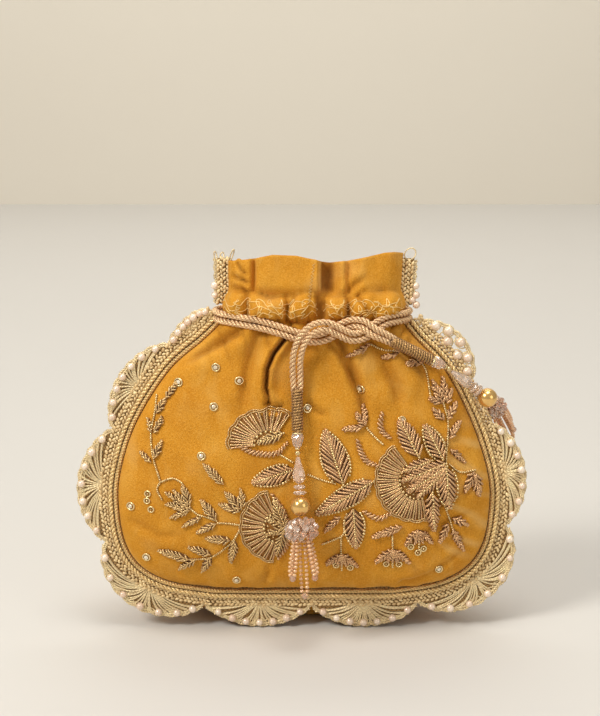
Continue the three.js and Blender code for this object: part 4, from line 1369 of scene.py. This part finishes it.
def make_tassels():
    """Both tassels on their sleeves."""
    front_end, front_parts = make_sleeve("front", (-3.4, -22.4, 126.4), (-3.2, -25, 106))
    straight = (0.05, -0.215, -0.975)
    make_tassel("front", front_end, straight, straight, straight, 1)
    right_end, right_parts = make_sleeve("right", (40.8, -18.9, 148.9), (60.6, -13.4, 138.2))
    make_tassel("right", right_end, (0.775, 0.175, -0.6), (0.42, 0.72, -0.55), (0.36, 0.62, -0.7), 0.66)


# ---------------------------------------------------------------- embroidery

# tip, base and half width of each leaf worked in bullion, in x and z
FLOWER_LEAVES = [
    ((46.4, 85.6), (61.0, 90.4), 2.6), ((46.6, 81.0), (67.7, 88.5), 3.8), ((49.2, 75.4), (68.0, 87.2), 3.8),
    ((53.8, 72.4), (67.7, 85.8), 3.2), ((44.9, 111.0), (54.4, 92.5), 4.6),
    ((57.1, 107.7), (66.0, 90.5), 4.0), ((69.7, 66.4), (67.4, 87.2), 4.6),
    ((62.2, 56.2), (61.2, 75.1), 3.6), ((-22.6, 99.6), (-9.8, 104.6), 2.9),
    ((-18.8, 63.4), (-8.8, 59.4), 2.3), ((-18.6, 54.6), (-8.6, 58.0), 2.3),
    ((-14.6, 73.4), (-9.0, 58.8), 3.2), ((-13.4, 43.6), (-8.8, 59.4), 3.2),
]
LARGE_LEAVES = [
    ((9.9, 106.0), (18.6, 79.8), 6.2), ((5.5, 65.0), (33.1, 81.2), 4.8), ((25.0, 47.4), (23.5, 67.7), 4.6),
    ((-25.0, 80.2), (-4.8, 87.2), 4.4),
]
SMALL_LEAVES = [
    ((9.7, 56.2), (17.4, 63.7), 1.8), ((28.6, 117.5), (29.3, 107.7), 1.6),
    ((18.2, 106.4), (28.0, 107.4), 1.6), ((24.2, 114.4), (28.6, 107.8), 1.5),
    ((61.1, 114.9), (66.9, 109.0), 1.8), ((73.1, 116.9), (68.5, 109.0), 1.8),
    ((74.9, 108.3), (69.7, 100.4), 1.9), ((77.6, 87.8), (70.4, 95.1), 1.5),
    ((77.3, 73.8), (82.2, 83.2), 2.4), ((84.5, 71.1), (82.9, 82.5), 2.4), ((65.5, 48.8), (69.9, 58.3), 1.9),
    ((79.6, 56.9), (71.8, 61.0), 2.0), ((77.7, 43.7), (71.9, 55.6), 1.6), ((32.7, 52.9), (47.2, 58.3), 1.9),
    ((-60.3, 127.2), (-66.2, 118.8), 1.4), ((-66.0, 119.4), (-70.9, 111.6), 1.7),
    ((-67.6, 110.8), (-72.1, 102.5), 1.5), ((-75.0, 109.4), (-73.4, 102.5), 1.1),
    ((-68.1, 99.7), (-72.0, 90.7), 1.7), ((-79.0, 93.5), (-73.4, 88.6), 1.5),
    ((-58.4, 78.8), (-54.9, 68.3), 2.0), ((-64.8, 61.6), (-54.9, 66.2), 1.7),
    ((-49.8, 71.8), (-42.1, 61.2), 2.4), ((-58.8, 57.7), (-49.5, 62.6), 1.5),
    ((-52.0, 54.5), (-42.1, 59.8), 1.9), ((-48.2, 89.7), (-38.5, 79.5), 2.0),
    ((-37.9, 76.0), (-29.9, 66.9), 2.4), ((-41.0, 69.7), (-30.6, 66.2), 2.1),
    ((-30.5, 77.4), (-29.2, 68.3), 1.7), ((-47.7, 52.0), (-35.4, 51.3), 2.2),
    ((-35.5, 39.1), (-33.4, 51.3), 2.3), ((-55.9, 47.3), (-45.0, 43.4), 2.1),
    ((-49.9, 33.4), (-45.1, 42.0), 2.1), ((-71.2, 44.8), (-55.3, 40.5), 2.4),
    ((-61.5, 34.4), (-52.6, 40.5), 1.8), ((-63.2, 76.4), (-54.2, 66.5), 1.5),
    ((-67.0, 69.0), (-54.9, 66.2), 1.8), ((-66.9, 75.3), (-56.2, 67.6), 1.4),
    ((20.9, 141.0), (31.2, 145.6), 1.2), ((36.5, 139.4), (45.0, 141.6), 1.4),
    ((48.0, 136.5), (57.0, 136.0), 1.6), ((59.6, 120.5), (66.2, 117.0), 1.9),
    ((61.0, 128.0), (66.6, 117.2), 1.9), ((66.4, 129.0), (67.4, 118.0), 1.7),
    ((70.6, 123.2), (68.2, 116.6), 1.6),
]
SEED_STEMS = [
    [(30.0, 106.4), (33.8, 102.1), (37.4, 98.8)],
    [(68.0, 88.5), (68.7, 98.4), (68.9, 108.3), (67.5, 114.3), (66.6, 117.2)],
    [(69.9, 87.8), (75.1, 83.8), (82.5, 84.0)],
    [(67.8, 67.7), (70.5, 60.3), (71.9, 55.6)],
    [(42.5, 53.6), (42.9, 46.7)],
    [(17.8, 53.6), (17.9, 44.7)],
    [(1.9, 84.5), (7.7, 82.2), (14.8, 80.3)],
    [(8.8, 49.5), (14.9, 52.2), (18.8, 54.9), (19.4, 61.7)],
    [(-70.8, 119.7), (-71.6, 112.2), (-73.5, 101.8), (-72.3, 90.7), (-68.9, 79.5)],
    [(-68.9, 79.5), (-63.4, 81.6), (-59.4, 80.2), (-58.1, 78.8)],
    [(-68.9, 79.5), (-70.6, 76.0), (-68.4, 71.1)],
    [(-54.2, 66.5), (-50.9, 64.0), (-48.2, 63.3), (-42.1, 61.2)],
    [(-41.4, 60.1), (-36.7, 60.1), (-31.3, 59.4)],
    [(-31.3, 56.2), (-35.4, 49.8), (-45.1, 42.0), (-55.3, 40.5)],
    [(-12.2, 94.9), (-8.8, 92.8), (-5.5, 90.7)],
    [(31.0, 146.0), (38.0, 143.4), (47.0, 142.0), (53.5, 138.4), (58.0, 133.6), (59.4, 126.0), (60.2, 121.0)],
]
THICK_CURLS = [
    [(25.5, 100.8), (27.2, 95.1), (30.1, 90.5), (34.9, 88.5)],
    [(37.2, 113.6), (36.3, 108.3), (37.6, 104.4), (40.6, 101.8)],
    [(29.0, 66.4), (32.9, 63.7), (36.8, 62.7), (41.3, 65.0)],
    [(-31.6, 98.6), (-25.6, 95.6), (-18.2, 94.5), (-12.4, 95.4), (-8.2, 99.6)],
    [(-15.2, 74.8), (-10.9, 68.3), (-7.6, 58.4), (-8.3, 49.1), (-12.4, 42.2)],
]
BELLS = [((54.7, 56.2), (48.7, 48.1), (62.3, 48.8)), ((42.9, 46.1), (34.5, 39.2), (51.7, 38.9)),
         ((17.9, 44.0), (10.7, 38.5), (26.0, 37.2))]
SEQUINS = [
    (51.6, 47.6), (57.8, 46.2), (55.2, 44.3), (15.6, 37.9), (22.5, 36.5), (40.0, 38.2), (46.2, 38.0),
    (-75.4, 73.2), (-73.9, 65.5), (-75.8, 69.7),
]
STONES = [
    (-42, 135), (-31, 129), (-60, 127), (-43, 116.5), (-49, 93), (1.5, 116), (27, 125), (46.5, 110),
    (-84, 66), (-77, 40), (-33, 29), (66, 34),
]
# centre, inner and outer radius, first and last angle, rays, and how far the fan is squeezed in x
FANS = [((54.6, 81.2), 9.6, 19.4, 128, 282, 19, 1.0), ((-11.4, 58.4), 8.4, 18.2, 112, 256, 14, 1.0),
        ((-16.6, 99.4), 6.4, 15.6, 62, 186, 12, 1.2)]


class Needlework:
    """What is sewn on the front panel: lines and beads in x, z and height over the velvet."""

    def __init__(self, surface):
        rows, columns = surface.shape[0] - 1, surface.shape[1] - 1
        self.velvet = BVHTree.FromPolygons(surface.reshape(-1, 3).tolist(),
                                           panel_faces(columns, rows, False).tolist())
        self.bullion, self.pale, self.rays, self.couched = [], [], [], []
        self.seeds, self.bright, self.pads, self.nets = [], [], [], []
        self.chance = np.random.default_rng(17)

    def lay(self, spots):
        """Places on the velvet for spots given as x, z and height."""
        placed = []
        for x, z, height in spots:
            hit, normal, _, _ = self.velvet.ray_cast(Vector((x, -90, z)), Vector((0, 1, 0)))
            if hit is None:
                hit, normal, _, _ = self.velvet.find_nearest(Vector((x, -20, z)))
            if normal.y > 0:
                normal = -normal
            placed.append(hit + normal * height)
        return np.array(placed)

    def leaf(self, tip, base, half, spacing, lift=0.0, slant=1.0, vein=True, edging=False, pale=False):
        """Slanting stitches to both sides of a leaf's middle line, over a padded ground coloured dark as
        painted shade between the stitches.
        """
        tip, base = np.array(tip, float), np.array(base, float)
        length = np.linalg.norm(tip - base)
        run = (tip - base) / length
        side = np.array([-run[1], run[0]])

        def edge(share):
            return half * math.sin(math.pi * min(share, 1.0) ** 0.8) ** 0.75 if share < 1 else 0.0

        count = max(int(length / spacing), 4)
        for way in (-1, 1):
            for k in range(count):
                share = (k + 0.15 + 0.35 * (way > 0)) / count
                root = base + run * length * share
                reach = min(share + slant * edge(min(share + 0.1, 0.98)) / length + 0.05, 0.985)
                root = root + self.chance.normal(0, 0.1, 2)
                end = base + run * length * reach + side * way * edge(reach) + self.chance.normal(0, 0.22, 2)
                middle = (root + end) / 2 + run * 0.25
                jump = self.chance.uniform(0, 0.25)
                line = [(*root, 0.55 + lift), (*(root * 0.6 + middle * 0.4), 1.15 + lift + jump),
                        (*middle, 1.3 + lift + jump), (*(middle * 0.4 + end * 0.6), 1.0 + lift + jump * 0.5),
                        (*end, 0.35 + lift * 0.6)]
                (self.pale if pale else self.bullion).append(line)
        if vein:
            for spot in even_steps(np.array([base, base + run * length * 0.9]), 1.15):
                self.seeds.append((*spot, (1.1 if pale else 1.45) + lift))
        if edging:
            for share in np.arange(0.12, 1.0, 1.5 / length):
                for way in (-1, 1):
                    spot = base + run * length * share + side * way * (edge(share) + 0.4)
                    self.bright.append((*spot, 0.6 + lift))
        # padding under the stitches, coloured dark as painted shade between them
        rows = []
        for share in np.linspace(0.02, 0.98, max(int(length / 1.6), 5)):
            rows.append([(*(base + run * length * share + side * w * edge(share) * 0.94),
                          (0.75 + lift) * (1 - w * w) + 0.15) for w in (-1, -0.5, 0, 0.5, 1)])
        self.pads.append(rows)

    def fan(self, centre, inner, outer, first, last, rays, squeeze):
        """Rays round a flower's centre, with a scalloped outline, two rings of beads and a net under them."""
        def spot(radius, angle, height):
            return (centre[0] + radius * math.cos(angle) * squeeze, centre[1] + radius * math.sin(angle),
                    height)

        angles = np.radians(np.linspace(first, last, rays))
        centre = np.array(centre)
        for angle in angles:
            out = np.array([math.cos(angle) * squeeze, math.sin(angle)])
            side = np.array([-out[1], out[0]]) * 0.4
            for way in (-1, 1):
                start = centre + out * inner + side * way * 0.7
                end = centre + out * outer + side * way * (1.2 + 0.02 * outer)
                (self.pale if way < 0 else self.rays).append([
                    (*start, 0.8), (*(start * 0.6 + end * 0.4), 0.95), (*(start * 0.3 + end * 0.7), 0.8),
                    (*end, 0.45)])
        rim = np.radians(np.linspace(first - 4, last + 4, rays * 6))
        scallop = outer + 0.9 + 0.75 * np.abs(np.sin(np.linspace(0, rays * 0.5, rays * 6) * math.pi))
        for step, height in ((0.0, 0.4), (-1.0, 0.55)):
            self.couched.append([spot(r + step, a, height) for a, r in zip(rim, scallop)])
        for radius, height, store in ((inner - 0.6, 1.3, self.bright), (inner - 2.4, 0.8, self.seeds)):
            count = max(int(math.radians(last - first) * radius / 1.75), 4)
            for angle in np.radians(np.linspace(first, last, count)):
                store.append(spot(radius, angle, height))
        across_net = ((0.4, 0.6), (inner * 0.6, 0.7), (inner, 0.45), ((inner + outer) / 2, 0.35),
                      (outer, 0.12))
        self.nets.append([[spot(radius, angle, height) for radius, height in across_net] for angle in angles])

    def bell(self, top, left, right):
        """A small open flower: two outer petals, three narrow ones and a line of beads."""
        top, left, right = (np.array(v, float) for v in (top, left, right))
        bottom = (left + right) / 2 + np.array([0, -2.2])
        for tip in (left, right):
            self.leaf(tip, top, 1.9, vein=False, spacing=1.7)
        for share in (0.3, 0.5, 0.7):
            tip = left * (1 - share) + right * share + np.array([0, -1.6])
            self.leaf(top * 0.25 + tip * 0.75, top, 0.9, vein=False, spacing=1.2)
        self.seeds += [(*(top * (1 - s) + bottom * s), 1.2) for s in np.linspace(0.1, 1.0, 8)]

    def curl(self, path):
        """A curved bar of short slanting stitches, thinner at its ends."""
        line = smooth_line([(*p, 0) for p in path], 1.9)[:, :2]
        run = unit(np.gradient(line, axis=0))
        for k, (spot, way) in enumerate(zip(line, run)):
            width = 1.25 * math.sin(math.pi * (k + 0.7) / (len(line) + 0.4)) ** 0.5
            reach = np.array([-way[1], way[0]]) * width + way * width * 1.1
            self.bullion.append([(*(spot - reach), 0.3), (*(spot - reach * 0.4), 1.1),
                                 (*(spot + reach * 0.4), 1.1), (*(spot + reach), 0.3)])

    def stem(self, path):
        """A single row of beads."""
        for x, z in smooth_line([(*p, 0) for p in path], 1.05)[:, :2]:
            self.seeds.append((x, z, 0.5))


def casing_scrolls():
    """Couched scrolls over the casing, and a zigzag down the broad pleat's folded edge."""
    chance = np.random.default_rng(23)
    scrolls = []
    for first, last in ((-36, 4.5), (10.5, 46)):
        for height in (160.6, 163.4, 166.0):
            steps = np.arange(0, last - first, 0.14)
            a, b, c, d = chance.uniform(0, math.tau, 4)
            scrolls.append(np.stack([
                first + steps + 1.9 * np.sin(1.2 * steps + a) + 0.5 * np.sin(2.9 * steps + b),
                height + 1.3 * np.sin(1.47 * steps + c) + 0.6 * np.sin(2.3 * steps + d),
                np.full(len(steps), 0.12)], axis=1))
    top = 184.5
    zigzag = np.arange(top, 166, -0.8)
    scrolls.append([(5.6 - (top - z) * 0.14 - (1.6 if k % 2 else 0.3), z, 0.15)
                    for k, z in enumerate(zigzag)])
    return scrolls


def patch_piece(work, name, patches, material):
    """Flat patches on the velvet, each given as rows of spots across it."""
    points, faces = [], []
    for rows in patches:
        first, across = sum(len(p) for p in points), len(rows[0])
        points.append(work.lay([spot for row in rows for spot in row]))
        for row in range(len(rows) - 1):
            for k in range(across - 1):
                a = first + row * across + k
                faces.append((a, a + 1, a + across + 1, a + across))
    return piece(name, np.vstack(points), faces, material)


def sew_stones(work):
    """The twelve stones in their rings, each facing square out of the velvet."""
    places = work.lay([(x, z, 0.75) for x, z in STONES])
    above = work.lay([(x, z, 1.75) for x, z in STONES])
    stones = beads("set stones", places, unit(above - places), 1.0, radius=1.12, material=STONE,
                   stretch=0.62, segments=12, rings=8, faceted=True)
    settle(stones, "bag", "stone", *[f"stone_{k:02d}" for k in range(1, len(STONES) + 1)])


def sew(front_points):
    """All the embroidery, in the order in which it is worked."""
    work = Needlework(front_points)
    for row in FANS:
        work.fan(*row)
    large = 8                      # the first leaves are the large flower's, and each lies a little higher
    for k, (tip, base, half) in enumerate(FLOWER_LEAVES):
        work.leaf(tip, base, half, lift=0.5 + 0.1 * k if k < large else 0.08 * (k - large), spacing=1.95,
                  edging=k in (5, 6), pale=k >= large)
    for tip, base, half in LARGE_LEAVES:
        work.leaf(tip, base, half, spacing=2.1, slant=1.1, edging=True)
    for tip, base, half in SMALL_LEAVES:
        pale = tip[0] < -30
        work.leaf(tip, base, half, vein=False, spacing=1.75 if pale else 1.85, slant=1.3, pale=pale)
    for row in BELLS:
        work.bell(*row)
    for path in SEED_STEMS:
        work.stem(path)
    for path in THICK_CURLS:
        work.curl(path)
    rings = []
    for spots, reach in ((SEQUINS, 1.35), (STONES, 1.75)):
        for x, z in spots:
            turn = np.linspace(0, math.tau, 17)
            rings.append([(x + reach * math.cos(t), z + reach * math.sin(t), 0.45) for t in turn])
    work.seeds += [(x, z, 0.5) for x, z in SEQUINS]
    pieces = []
    for name, lines, radius, material, sides in (
            ("rose bullion", work.bullion, 0.56, ROSE_BULLION, 7),
            ("pale bullion", work.pale, 0.42, PALE_BULLION, 6),
            ("fan rays", work.rays, 0.42, ROSE_BULLION, 6),
            ("fan outlines", work.couched, 0.3, PALE_BULLION, 5),
            ("couched gold thread", casing_scrolls(), 0.17, COUCHING, 5),
            ("stone settings", rings, 0.42, BRIGHT_BEAD, 6)):
        pieces.append(threads(name, [work.lay(line) for line in lines], radius, material, sides))
    for name, spots, radius in (("embroidery seed beads", work.seeds, 0.62),
                                ("purl beads", work.bright, 0.74)):
        places = work.lay(spots)
        chance = np.random.default_rng(len(spots))
        headings = chance.normal(0, 1, (len(places), 3))
        sizes = chance.uniform(0.85, 1.1, len(places))
        pieces.append(beads(name, places, headings, sizes, radius, BRIGHT_BEAD, segments=7, rings=5))
    pieces.append(patch_piece(work, "bullion padding and painted shade", work.pads, PADDING_AND_SHADE))
    pieces.append(patch_piece(work, "fan net", work.nets, FAN_NET))
    for made in pieces:
        settle(made, "bag", "embroidery")
    sew_stones(work)


# ---------------------------------------------------------------- run

set_camera()
set_light()
strands = make_drawcord()
front_points = make_panels()
make_piping()
make_lace()
make_tassels()
sew(front_points)

FAR, BEHIND = 3000, 1999           # how far the floor and the wall go, and the wall's place behind the bag
floor = piece("floor", [(-FAR, -FAR, 0), (FAR, -FAR, 0), (FAR, BEHIND, 0), (-FAR, BEHIND, 0)], [(0, 1, 2, 3)],
              plain_surface("floor paper", (208, 205, 199), (204, 200, 193)), False)
wall = piece("wall", [(-FAR, BEHIND, 0), (FAR, BEHIND, 0), (FAR, BEHIND, FAR), (-FAR, BEHIND, FAR)],
             [(0, 1, 2, 3)], plain_surface("wall paint", (220, 213, 199), (213, 204, 188)), False)
